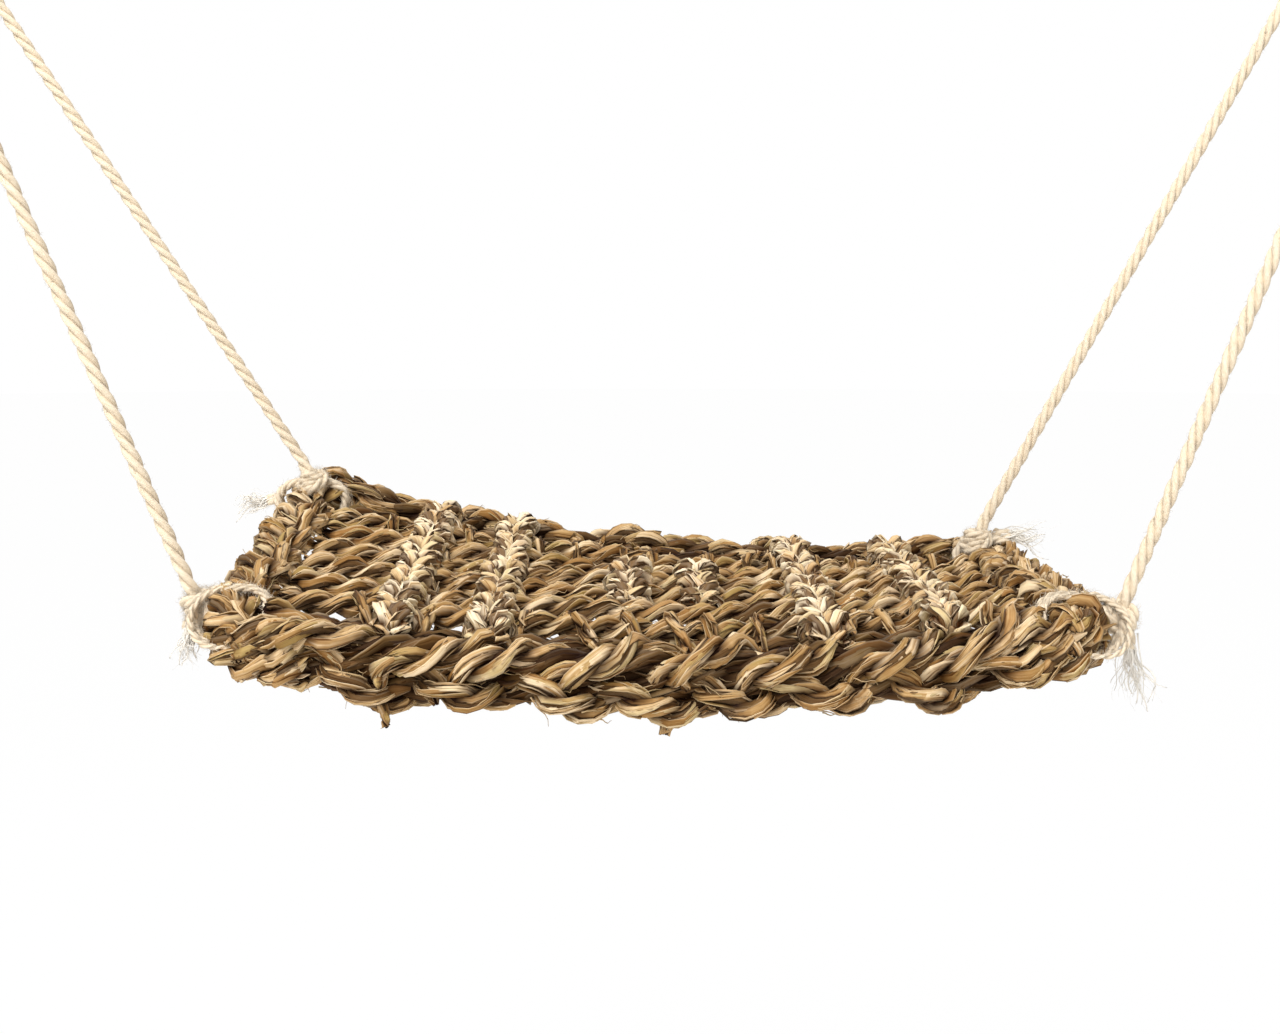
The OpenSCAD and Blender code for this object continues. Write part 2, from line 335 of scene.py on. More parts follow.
def blade_lift(
    share: np.ndarray, tips: np.ndarray, lane: np.ndarray, ply_radius: float, stray: float,
    rng: np.random.Generator,
) -> np.ndarray:
    """How far the middle of each blade stands over its ply.

    It is a layer of its own, plus a dip at the tips, plus a small sine wave along the blade. In a
    stray blade the last tip rises instead, by the power 1.6 of its share.

    Args:
        share: shares along a blade, 1 by sections.
        tips: distance from the nearer tip, in tip lengths.
        lane: the lane of each blade.
        ply_radius: radius of a ply.
        stray: share of the blades that are stray.
        rng: the seeded source of their variety.

    Returns:
        The lift in metres, blades by sections.
    """
    count = len(lane)
    layer = rng.uniform(-0.10, 0.16, count)[:, None] * ply_radius
    dip = -0.75 * MM * (1 - smooth_step(tips))
    is_stray = rng.uniform(0, 1, count)[:, None] < stray
    flare = np.where(share > 0.5, np.clip((share - 0.78) / 0.22, 0, 1), 0) ** 1.6
    dip = np.where(is_stray & (share > 0.5), flare * rng.uniform(0.6, 2.6, count)[:, None] * MM, dip)
    ripple = 0.22 * MM * np.sin(share * rng.uniform(5, 14, count)[:, None] + lane[:, None] * 1.7)
    return layer + dip + ripple


def blade_section(
    lean: np.ndarray, half_angle: np.ndarray, ply_radius: float, shingle: float, rng: np.random.Generator
) -> np.ndarray:
    """How the height of each blade changes from edge to edge.

    It is the shingle's slope, less a fold that rises to either side of a crease, plus a share of
    what a flat strip gains over a round ply, plus fine ridges on the top side.

    Args:
        lean: slope of each blade in shingles, blades by 1 by 1.
        half_angle: half the angle that a blade takes round its ply, blades by sections by 1.
        ply_radius: radius of a ply.
        shingle: height of the raised edge.
        rng: the seeded source of their variety.

    Returns:
        The height in metres, blades by sections by points across.
    """
    count = len(lean)
    fold = (rng.uniform(-0.55, 0.7, count) * MM)[:, None, None]
    fold_at = rng.uniform(-0.5, 0.5, count)[:, None, None]
    flat = rng.uniform(0.15, 0.8, count)[:, None, None]
    ridge = 0.13 * MM * np.cos(np.pi * 3.6 * LEAF_ACROSS + rng.uniform(0, 6, count)[:, None, None])
    height = shingle * lean * LEAF_ACROSS - fold * (np.abs(LEAF_ACROSS - fold_at) - 0.5)
    return height + flat * ply_radius * (half_angle * LEAF_ACROSS) ** 2 / 2 + ridge * ON_TOP


def leaf_rope(route: Route, radius: float, style: LeafStyle, rng: np.random.Generator) -> Shell:
    """A twisted cord of leaf blades.

    A ply's middle circles the line once in every lay. Each blade is a strip on its ply's round
    surface: at a share t of its length it stands at an angle that drifts with the lay, its half
    width is the full one times a curve that rises from the tips, and its height over the ply is
    that of its section plus its lift. At the cord's ends the blades draw in by a quarter.

    Args:
        route: the cord's line.
        radius: nominal radius of the cord.
        style: how its blades lie.
        rng: the seeded source of their variety.

    Returns:
        The blades with one core in each ply, darkened with painted shade.
    """
    ply_radius = PLY_SIZE * radius * style.fullness
    ply_place = PLY_PLACE * radius * style.fullness if style.plies > 1 else 0.0
    start_angle = rng.uniform(0, TAU)
    ply, lane, low, high = blade_spans(route.length, style, rng)
    count = len(ply)

    share = np.linspace(0.0, 1.0, style.rings)[None, :]
    s = low[:, None] + (high - low)[:, None] * share
    turn = TAU * s / style.lay + TAU * ply[:, None] / style.plies + start_angle
    follow = rng.uniform(-0.15, 0.55, count)[:, None]
    angle = TAU * (lane + rng.uniform(-0.3, 0.3, count))[:, None] / style.leaves
    angle = angle + follow * (turn - turn[:, :1]) + turn[:, :1]

    tips = np.minimum(share, 1 - share) / TIP_SHARE
    width = style.width * rng.uniform(0.7, 1.3, count)[:, None]
    width = width * (0.12 + 0.88 * smooth_step(tips) ** 0.6)
    width = width * (1 + 0.12 * np.sin(share * rng.uniform(4, 11, count)[:, None] + ply[:, None]))

    across, half_angle = LEAF_ACROSS, (width / (2 * ply_radius))[:, :, None]
    lift = blade_lift(share, tips, lane, ply_radius, style.stray, rng)
    lean = rng.choice([1.0, 0.75, -0.8], count, p=[0.5, 0.25, 0.25])[:, None, None]
    height = blade_section(lean, half_angle, ply_radius, style.shingle, rng) + lift[:, :, None]
    height = height - (1 - ON_TOP) * style.thickness * (1 - across**4)
    reach = np.maximum(ply_radius + height, 0.25 * ply_radius)
    place = angle[:, :, None] + across * half_angle

    opening = np.clip(1 - np.minimum(s, route.length - s) / style.ragged, 0, 1)[:, :, None] ** 2
    side = ply_place * np.cos(turn)[:, :, None] + reach * np.cos(place)
    rise = ply_place * np.sin(turn)[:, :, None] + reach * np.sin(place)
    spread = 1 - 0.25 * opening
    grid = route.place(s, side * spread, rise * spread)

    # Openness sets the painted shade: low near the cord's middle, where an edge tucks under its neighbour,
    # and lower on the underside.
    outwards = np.hypot(side, rise) / (radius * style.fullness)
    tucked = np.clip((-np.sign(lean) * across - 0.4) / 0.5, 0, 1) ** 1.6
    open_air = ((outwards - 0.4) / 0.46) * (1 - 0.9 * tucked) * (1 - style.depth)
    tone = np.clip(rng.normal(style.tone, 0.26, count), 0, 1)[:, None, None]
    hue = rng.uniform(0, 1, count)[:, None, None]
    shape = grid.shape[:3]
    marks = spread_marks(shape, tone, hue, np.clip(open_air, 0, 1) * np.where(ON_TOP > 0, 1.0, 0.4))
    lane_start = lane[:, None, None] * LANE_STEP
    uv = stacked(shape, 0.5 + 0.5 * across + lane_start, s[:, :, None] * UV_PER_METRE + hue * 7)
    return Shell.joined([loft(grid, uv, marks), ply_cores(route, ply_place, ply_radius, style, start_angle)])


def ply_cores(route: Route, place: float, radius: float, style: LeafStyle, start_angle: float) -> Shell:
    """The heart of each ply, darkened with painted shade: a round tube whose middle circles the line once in
    every lay.

    Args:
        route: the cord's line.
        place: distance of a ply's middle from the line.
        radius: radius of a ply.
        style: how the cord is laid.
        start_angle: angle of the first ply at the line's start.

    Returns:
        One tube for each ply, narrowed to a point at both ends.
    """
    rings = max(8, int(route.length / (2.5 * MM)))
    s = np.linspace(0, route.length, rings)[None, :].repeat(style.plies, axis=0)
    turn = TAU * s / style.lay + TAU * np.arange(style.plies)[:, None] / style.plies + start_angle
    angle = TAU * np.arange(8)[None, None, :] / 8
    taper = 0.06 + 0.94 * smooth_step(np.minimum(s, route.length - s) / CORE_TAPER)
    size = CORE_SIZE * radius * taper[:, :, None]
    side = place * np.cos(turn)[:, :, None] + size * np.cos(angle)
    rise = place * np.sin(turn)[:, :, None] + size * np.sin(angle)
    grid = route.place(s, side, rise)
    shape = grid.shape[:3]
    uv = stacked(shape, angle, s[:, :, None] * UV_PER_METRE)
    # Low openness: the material paints the core dark as shade.
    return loft(grid, uv, spread_marks(shape, 0.35, 0.5, 0.3 * (1 - style.depth)))


# ---------------------------------------------------------------- ropes and fibres of cotton


@dataclass(frozen=True)
class CottonStyle:
    """A twisted cotton cord.

    Attributes:
        diameter: outer diameter in metres.
        strands: strands laid together.
        lay: length in metres in which the cord turns once round.
        around: points round one section.
        step: distance in metres between two sections.
    """

    diameter: float = 4.5 * MM
    strands: int = 3
    lay: float = 21 * MM
    around: int = 24
    step: float = 0.9 * MM


def cotton_rope(route: Route, style: CottonStyle, rng: np.random.Generator, taper: float = 0.0) -> Shell:
    """A cord of round strands twisted together.

    The section is the outline of equal circles that touch in a ring: at an angle a from the
    nearest strand's middle its radius is c cos a + sqrt(b^2 - c^2 sin^2 a), where c is the distance
    of a strand's middle and b its radius, 1.3 times as large as in a plain ring of circles, so that
    the grooves stay shallow. The outline turns once in every lay.

    Args:
        route: the cord's line; a closed one gives an endless ring.
        style: the cord's size and twist.
        rng: the seeded source of its unevenness.
        taper: length in metres over which each open end narrows.

    Returns:
        The cord's skin.
    """
    outer = style.diameter / 2
    strand = outer / (1 + 1 / math.sin(math.pi / style.strands))
    middle = outer - strand
    rings = max(12, int(route.length / style.step))
    turns = route.length / style.lay
    if route.closed:
        turns = max(1, round(turns * style.strands)) / style.strands
    s = np.linspace(0, route.length, rings, endpoint=not route.closed)[None, :]
    angle = TAU * np.arange(style.around)[None, None, :] / style.around
    wedge = TAU / style.strands
    turn = (TAU * turns * s / route.length)[:, :, None]
    local = (angle + wedge / 2) % wedge - wedge / 2
    bulge = strand * 1.3
    reach = middle * np.cos(local) + np.sqrt(np.maximum(bulge**2 - (middle * np.sin(local)) ** 2, 0.0))
    uneven = 1.0 + (0.0 if route.closed else 1.0) * wander(rng, s, 6 * MM, 0.035)[:, :, None]
    narrow = 1.0
    if taper > 0:
        narrow = (0.25 + 0.75 * smooth_step(np.minimum(s, route.length - s) / taper))[:, :, None]
    reach = reach * uneven * narrow
    grid = route.place(s, reach * np.cos(angle + turn), reach * np.sin(angle + turn))
    shape = grid.shape[:3]
    # Openness is low in the grooves between strands, where the material paints shade.
    open_air = (reach / outer - 0.60) / 0.34
    strand_number = np.floor((angle + wedge / 2) / wedge) % style.strands
    uv = stacked(shape, local / wedge + 0.5 + strand_number, s[:, :, None] * UV_PER_METRE)
    marks = spread_marks(shape, 0.5, strand_number / style.strands, open_air)
    return loft(grid, uv, marks, ring=route.closed)


def fibres(
    roots: np.ndarray, tips: np.ndarray, radius: float, curl: float, droop: float,
    rng: np.random.Generator, rings: int = 7, sides: int = 3, tone: float = 0.6,
) -> Shell:
    """Loose fibres from their roots to their tips.

    At a share t of its length a fibre stands on the straight line from root to tip, plus a sine
    wave across it that grows with t, less a droop of t squared. It narrows to a third at its tip.

    Args:
        roots: where the fibres start, n by 3.
        tips: where they would end if straight, n by 3.
        radius: radius at the root.
        curl: size of the wave at the tip.
        droop: how far a tip hangs below the straight line.
        rng: the seeded source of the waves.
        rings: sections along a fibre.
        sides: points round a section.
        tone: lightness of the fibres.

    Returns:
        One closed thin tube for each fibre.
    """
    count = len(roots)
    t = np.linspace(0.0, 1.0, rings)[None, :, None]
    ahead = unit(tips - roots)
    side = unit(np.cross(ahead, rng.normal(size=(count, 3)) + 0.1))
    up = np.cross(side, ahead)
    phase = rng.uniform(0, TAU, (count, 1, 2))
    waves = np.sin(phase + t * rng.uniform(3, 9, (count, 1, 2))) * curl * t
    line = roots[:, None, :] * (1 - t) + tips[:, None, :] * t
    line = line + waves[..., :1] * side[:, None, :] + waves[..., 1:] * up[:, None, :]
    line = line - Z_AXIS * droop * t**2
    angle = TAU * np.arange(sides)[None, None, :, None] / sides
    size = (radius * (1 - 0.66 * t))[..., None]
    ring = np.cos(angle) * side[:, None, None, :] + np.sin(angle) * up[:, None, None, :]
    grid = line[:, :, None, :] + size * ring
    shape = grid.shape[:3]
    hue = rng.uniform(0, 1, (count, 1, 1))
    return loft(grid, stacked(shape, angle[..., 0], t * 3), spread_marks(shape, tone, hue, 1.0))


# Loose hairs: radius, curl, and how far from the line they root, as a share of the cord's radius.
HAIR_R = 0.08 * MM
HAIR_CURL = 0.5 * MM
HAIR_ROOT = 0.85


def fuzz(route: Route, radius: float, count: int, reach: float, rng: np.random.Generator) -> Shell:
    """Short fine hairs that stand off a cord, at random places round and along it.

    Args:
        route: the cord's line.
        radius: radius of the cord.
        count: number of hairs.
        reach: how far the longest stands off the cord.
        rng: the seeded source of their places.

    Returns:
        The hairs, rooted a little below the cord's skin.
    """
    s = rng.uniform(0.0, route.length, (count, 1))
    angle = rng.uniform(0, TAU, (count, 1))
    root = route.beside(s, HAIR_ROOT * radius, angle)
    out = radius + rng.uniform(0.3, 1.0, (count, 1)) * reach
    slide = s + rng.uniform(-1, 1, (count, 1)) * reach * 1.6
    swing = angle + rng.uniform(-0.9, 0.9, (count, 1))
    tip = route.beside(slide, out, swing)
    return fibres(root, tip, HAIR_R, HAIR_CURL, 0.0, rng, rings=4)


# ---------------------------------------------------------------- meshes


def body_of_node(node: str) -> str:
    """The name of the body that a node rides on."""
    bodies = frame["record"]["behaviour"]["bodies"]
    return next(body for body, nodes in bodies.items() if node in nodes)


class Seed(Enum):
    """The number that the random variety of each kind of piece starts from."""

    BAND = 40
    TIE = 50
    WARP = 100
    BORDER = 200
    EDGE_TIES = 250
    END = 300
    CORNER = 500
    TOP_HEART = 600

    def source(self, number: int = 0) -> np.random.Generator:
        """The seeded source of the piece with that number."""
        return np.random.default_rng(self.value + number)


class Slot(Enum):
    """The record's material slots."""

    SEAGRASS = "seagrass"
    PALE_SEAGRASS = "pale_seagrass"
    COTTON = "cotton"


def piece(
    name: str, shell: Shell, finish: bpy.types.Material, nodes: Sequence[str]
) -> bpy.types.Object:
    """Make a mesh object that stands for some nodes and rides on their body.

    Args:
        name: the piece's name.
        shell: its skin.
        finish: its material.
        nodes: the nodes that it replaces; the first one gives the body.

    Returns:
        The new object, at the origin.
    """
    mesh = bpy.data.meshes.new(name)
    corners = np.concatenate([block.ravel() for block in shell.faces])
    sizes = np.concatenate([np.full(len(block), block.shape[1]) for block in shell.faces])
    starts = np.concatenate([[0], np.cumsum(sizes)[:-1]])
    mesh.vertices.add(len(shell.points))
    mesh.loops.add(len(corners))
    mesh.polygons.add(len(sizes))
    mesh.vertices.foreach_set("co", shell.points.astype(np.float32).ravel())
    mesh.loops.foreach_set("vertex_index", corners.astype(np.int32))
    mesh.polygons.foreach_set("loop_start", starts.astype(np.int32))
    mesh.polygons.foreach_set("use_smooth", np.ones(len(sizes), dtype=bool))
    mesh.update(calc_edges=True)
    layer = mesh.uv_layers.new(name=STRIP)
    layer.data.foreach_set("uv", shell.uv[corners].astype(np.float32).ravel())
    marks = mesh.attributes.new(MARKS, "FLOAT_COLOR", "POINT")
    colour = np.concatenate([shell.marks, np.ones((len(shell.marks), 1))], axis=1)
    marks.data.foreach_set("color", colour.astype(np.float32).ravel())
    mesh.materials.append(finish)
    made = bpy.data.objects.new(name, mesh)
    bpy.context.scene.collection.objects.link(made)
    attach(made, body_of_node(nodes[0]))
    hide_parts(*nodes)
    log.info("%s: %d faces for %s", name, len(sizes), ", ".join(nodes))
    return made


# ---------------------------------------------------------------- materials

Operand = Union[float, "Signal"]


class Signal:
    """A value on its way through a material; the usual operators add Math nodes."""

    def __init__(self, recipe: "Recipe", socket: bpy.types.NodeSocket) -> None:
        """Keep the socket that gives the value, and the recipe that it belongs to."""
        self.recipe = recipe
        self.socket = socket

    def __add__(self, other: Operand) -> "Signal":
        """The sum."""
        return self.recipe.math("ADD", self, other)

    def __radd__(self, other: Operand) -> "Signal":
        """The sum, with a number first."""
        return self.recipe.math("ADD", other, self)

    def __sub__(self, other: Operand) -> "Signal":
        """The difference."""
        return self.recipe.math("SUBTRACT", self, other)

    def __rsub__(self, other: Operand) -> "Signal":
        """The difference, with a number first."""
        return self.recipe.math("SUBTRACT", other, self)

    def __mul__(self, other: Operand) -> "Signal":
        """The product."""
        return self.recipe.math("MULTIPLY", self, other)

    def __rmul__(self, other: Operand) -> "Signal":
        """The product, with a number first."""
        return self.recipe.math("MULTIPLY", other, self)

    def __truediv__(self, other: Operand) -> "Signal":
        """The quotient."""
        return self.recipe.math("DIVIDE", self, other)

    def __pow__(self, other: Operand) -> "Signal":
        """The power."""
        return self.recipe.math("POWER", self, other)

    def held(self) -> "Signal":
        """The value held between 0 and 1."""
        return self.recipe.math("MAXIMUM", self.recipe.math("MINIMUM", self, 1.0), 0.0)


class Recipe:
    """The node tree of one material, or of the world."""

    def __init__(self, owner: Union[bpy.types.Material, bpy.types.World]) -> None:
        """Empty the node tree of its owner."""
        self.owner = owner
        owner.use_nodes = True
        self.tree = owner.node_tree
        self.tree.nodes.clear()

    def node(
        self, kind: str, settings: Optional[dict] = None, inputs: Optional[dict] = None
    ) -> bpy.types.Node:
        """Add a node.

        Args:
            kind: the node's type, without the ShaderNode at its front.
            settings: properties to set first; stops gives a ramp's places and colours.
            inputs: values, signals or sockets for its inputs, by name or number.

        Returns:
            The new node.
        """
        made = self.tree.nodes.new("ShaderNode" + kind)
        for name, value in (settings or {}).items():
            if name == "stops":
                ramp = made.color_ramp
                while len(ramp.elements) < len(value):
                    ramp.elements.new(0.5)
                for element, (place, colour) in zip(ramp.elements, value):
                    element.position = place
                    element.color = (*colour, 1.0)
            else:
                setattr(made, name, value)
        for key, value in (inputs or {}).items():
            self.feed(made.inputs[key], value)
        return made

    def feed(self, socket: bpy.types.NodeSocket, value: object) -> None:
        """Link a signal or socket to an input, or set a plain value on it."""
        if isinstance(value, Signal):
            value = value.socket
        if isinstance(value, bpy.types.NodeSocket):
            self.tree.links.new(value, socket)
        else:
            socket.default_value = value

    def math(self, operation: str, first: Operand, second: Operand) -> Signal:
        """A Math node on two values."""
        made = self.node("Math", {"operation": operation}, {0: first, 1: second})
        return Signal(self, made.outputs[0])

    def blended(self, share: Operand, low: object, high: object, way: str = "MIX") -> bpy.types.NodeSocket:
        """A colour between two colours, from low at a share of 0 to high at 1."""
        made = self.node("Mix", {"data_type": "RGBA", "blend_type": way}, {0: share, 6: low, 7: high})
        return made.outputs[2]

    def noise(self, vector: bpy.types.NodeSocket, scale: float, detail: float = 2.0) -> Signal:
        """Smooth noise from 0 to 1 over a vector."""
        made = self.node("TexNoise", {}, {"Vector": vector, "Scale": scale, "Detail": detail})
        return Signal(self, made.outputs["Fac"])

    def stretched(
        self, vector: bpy.types.NodeSocket, scale: tuple[float, float, float]
    ) -> bpy.types.NodeSocket:
        """A vector with each part multiplied by its own scale."""
        made = self.node("VectorMath", {"operation": "MULTIPLY"}, {0: vector, 1: scale})
        return made.outputs[0]

    def finished(self, inputs: dict) -> bpy.types.Material:
        """Close the material with a Principled shader fed by the given inputs."""
        shader = self.node("BsdfPrincipled", {}, inputs)
        self.node("OutputMaterial", {}, {"Surface": shader.outputs[0]})
        return self.owner


class Surface:
    """What a material reads from its piece.

    strip and place are the UV map and the point itself. tone, hue and open_air are the marks, and
    across and along are the two parts of the strip.
    """

    def __init__(self, recipe: Recipe) -> None:
        """Add the nodes that read the piece to a recipe."""
        self.strip = recipe.node("UVMap", {"uv_map": STRIP}).outputs["UV"]
        self.place = recipe.node("TexCoord").outputs["Object"]
        marks = recipe.node("Attribute", {"attribute_name": MARKS}).outputs["Color"]
        split = recipe.node("SeparateColor", {}, {0: marks}).outputs
        self.tone, self.hue, self.open_air = (Signal(recipe, split[part]) for part in range(3))
        parts = recipe.node("SeparateXYZ", {}, {0: self.strip}).outputs
        self.across, self.along = Signal(recipe, parts[0]), Signal(recipe, parts[1])


Colour = tuple[float, float, float, float]


def rgb(red: int, green: int, blue: int) -> Colour:
    """A display colour of 0 to 255 as linear light: ((c/255 + 0.055) / 1.055) to the power 2.4."""
    parts = [((part / 255 + 0.055) / 1.055) ** 2.4 for part in (red, green, blue)]
    return (parts[0], parts[1], parts[2], 1.0)


@dataclass(frozen=True)
class LeafFinish:
    """Dried leaf: long fine veins, brown blotches, pale edges partly dry and partly painted highlight, and
    painted shade deep inside.
    """

    name: str
    dull: Colour = rgb(148, 110, 62)
    usual: Colour = rgb(186, 152, 104)
    light: Colour = rgb(230, 208, 172)
    rust: Colour = rgb(160, 102, 50)
    green: Colour = rgb(160, 140, 84)
    vein: Colour = rgb(64, 32, 5)
    # The last two colours are painted shade, blended in where a blade lies deep.
    shade: Colour = rgb(120, 70, 24)
    hollow: Colour = rgb(30, 11, 1)
    rust_share: float = 0.16
    roughness: float = 0.55
    gloss: float = 0.06

    def material(self) -> bpy.types.Material:
        """Build the material: tone and hue per blade, veins along it, and painted shade where it lies deep.
        """
        recipe = Recipe(bpy.data.materials.new(self.name))
        read = Surface(recipe)

        veins = recipe.noise(recipe.stretched(read.strip, (3.4, 0.42, 1.0)), 1.0, 3.0)
        fine = recipe.noise(recipe.stretched(read.strip, (8.5, 0.9, 1.0)), 1.0, 2.0)
        blotch = recipe.noise(read.place, 75.0, 2.0)
        patch = recipe.noise(read.place, 280.0, 3.0)

        uneven = (veins - 0.5) * 1.5
        lightness = (read.tone + uneven + (fine - 0.5) * 0.7 + (patch - 0.5) * 0.4).held()
        stops = [(0.0, self.dull[:3]), (0.5, self.usual[:3]), (1.0, self.light[:3])]
        colour = recipe.node("ValToRGB", {"stops": stops}, {"Fac": lightness}).outputs[0]
        rust = ((read.hue * 0.8 + blotch * 1.3 - 1.12) * 3.0).held() * self.rust_share
        colour = recipe.blended(rust, colour, self.rust)
        green = ((1.0 - read.hue + (blotch - 0.5) - 0.7) * 3.0).held() * 0.6
        colour = recipe.blended(green, colour, self.green)
        # Pale blade edges on both sides: partly the dry edge's own colour, partly painted highlight.
        lane = recipe.math("FRACT", read.across / LANE_STEP, 0.0)
        edge = recipe.math("ABSOLUTE", lane - LANE_MIDDLE, 0.0)
        dry_edge_and_highlight = ((edge - 0.29) * 14.0).held() * (0.2 + 0.6 * fine)
        colour = recipe.blended(dry_edge_and_highlight, colour, self.light)
        crease = ((0.42 - fine) * 6.0 + (0.43 - veins) * 9.0).held() * 0.85
        colour = recipe.blended(crease, colour, self.vein)
        # Painted shade: the less open the place, the further the colour goes towards the shade colours.
        depth = (1.0 - read.open_air).held()
        colour = recipe.blended(depth**0.6 * 0.5, colour, self.shade)
        colour = recipe.blended(depth**1.1, colour, self.hollow)

        relief = veins * 0.6 + fine * 0.4
        bump = recipe.node("Bump", {}, {"Strength": 0.9, "Distance": 0.5 * MM, "Height": relief})
        return recipe.finished({
            "Base Color": colour,
            "Roughness": self.roughness + (veins - 0.5) * 0.3,
            "Normal": bump.outputs[0],
            "Specular IOR Level": self.gloss,
        })


@dataclass(frozen=True)
class CottonFinish:
    """Natural cotton cord: fine yarns that cross each strand, paler where it is frayed."""

    name: str
    light: Colour = rgb(234, 221, 199)
    usual: Colour = rgb(210, 190, 160)
    shadow: Colour = rgb(176, 150, 116)
    frayed: Colour = rgb(250, 245, 236)
    roughness: float = 0.82
    gloss: float = 0.25
    sheen: float = 0.25

    def material(self) -> bpy.types.Material:
        """Build the material: yarns slanted across each strand, and painted shade in the grooves."""
        recipe = Recipe(bpy.data.materials.new(self.name))
        read = Surface(recipe)

        slant = {0: read.across * 7.0 - read.along * 3.2, 1: read.along * 0.9}
        yarns = recipe.noise(recipe.node("CombineXYZ", {}, slant).outputs[0], 1.6, 2.0)
        cloud = recipe.noise(read.place, 900.0, 3.0)
        lightness = ((yarns - 0.5) * 1.5 + 0.55 + (cloud - 0.5) * 1.2).held()
        colour = recipe.blended(lightness, self.usual, self.light)
        colour = recipe.blended(((read.tone - 0.55) * 4.0).held(), colour, self.frayed)
        # Painted shade: the shadow colour is blended in where the outline dips between strands.
        groove_shade = (1.0 - read.open_air).held() ** 1.3 * 0.7
        colour = recipe.blended(groove_shade, colour, self.shadow)
        bump = recipe.node("Bump", {}, {"Strength": 0.8, "Distance": 0.25 * MM, "Height": yarns})
        return recipe.finished({
            "Base Color": colour,
            "Roughness": self.roughness + (yarns - 0.5) * 0.15,
            "Normal": bump.outputs[0],
            "Specular IOR Level": self.gloss,
            "Sheen Weight": self.sheen,
            "Sheen Roughness": 0.5,
        })


# ---------------------------------------------------------------- the mat's plan


class Corner(Enum):
    """The mat's corners, with the side each lies on along X and across Y."""

    NEAR_LEFT = ("near_left", -1, -1)
    NEAR_RIGHT = ("near_right", 1, -1)
    FAR_RIGHT = ("far_right", 1, 1)
    FAR_LEFT = ("far_left", -1, 1)

    @property
    def label(self) -> str:
        """The corner's name as the nodes spell it."""
        return self.value[0]

    @property
    def side_x(self) -> int:
        """1 at the right end and -1 at the left."""
        return self.value[1]

    @property
    def side_y(self) -> int:
        """1 at the far border and -1 at the near one."""
        return self.value[2]

    @property
    def order(self) -> int:
        """The corner's place in the lists of sizes."""
        return list(Corner).index(self)

    @property
    def is_near(self) -> bool:
        """Whether the corner lies on the near side."""
        return self.side_y < 0


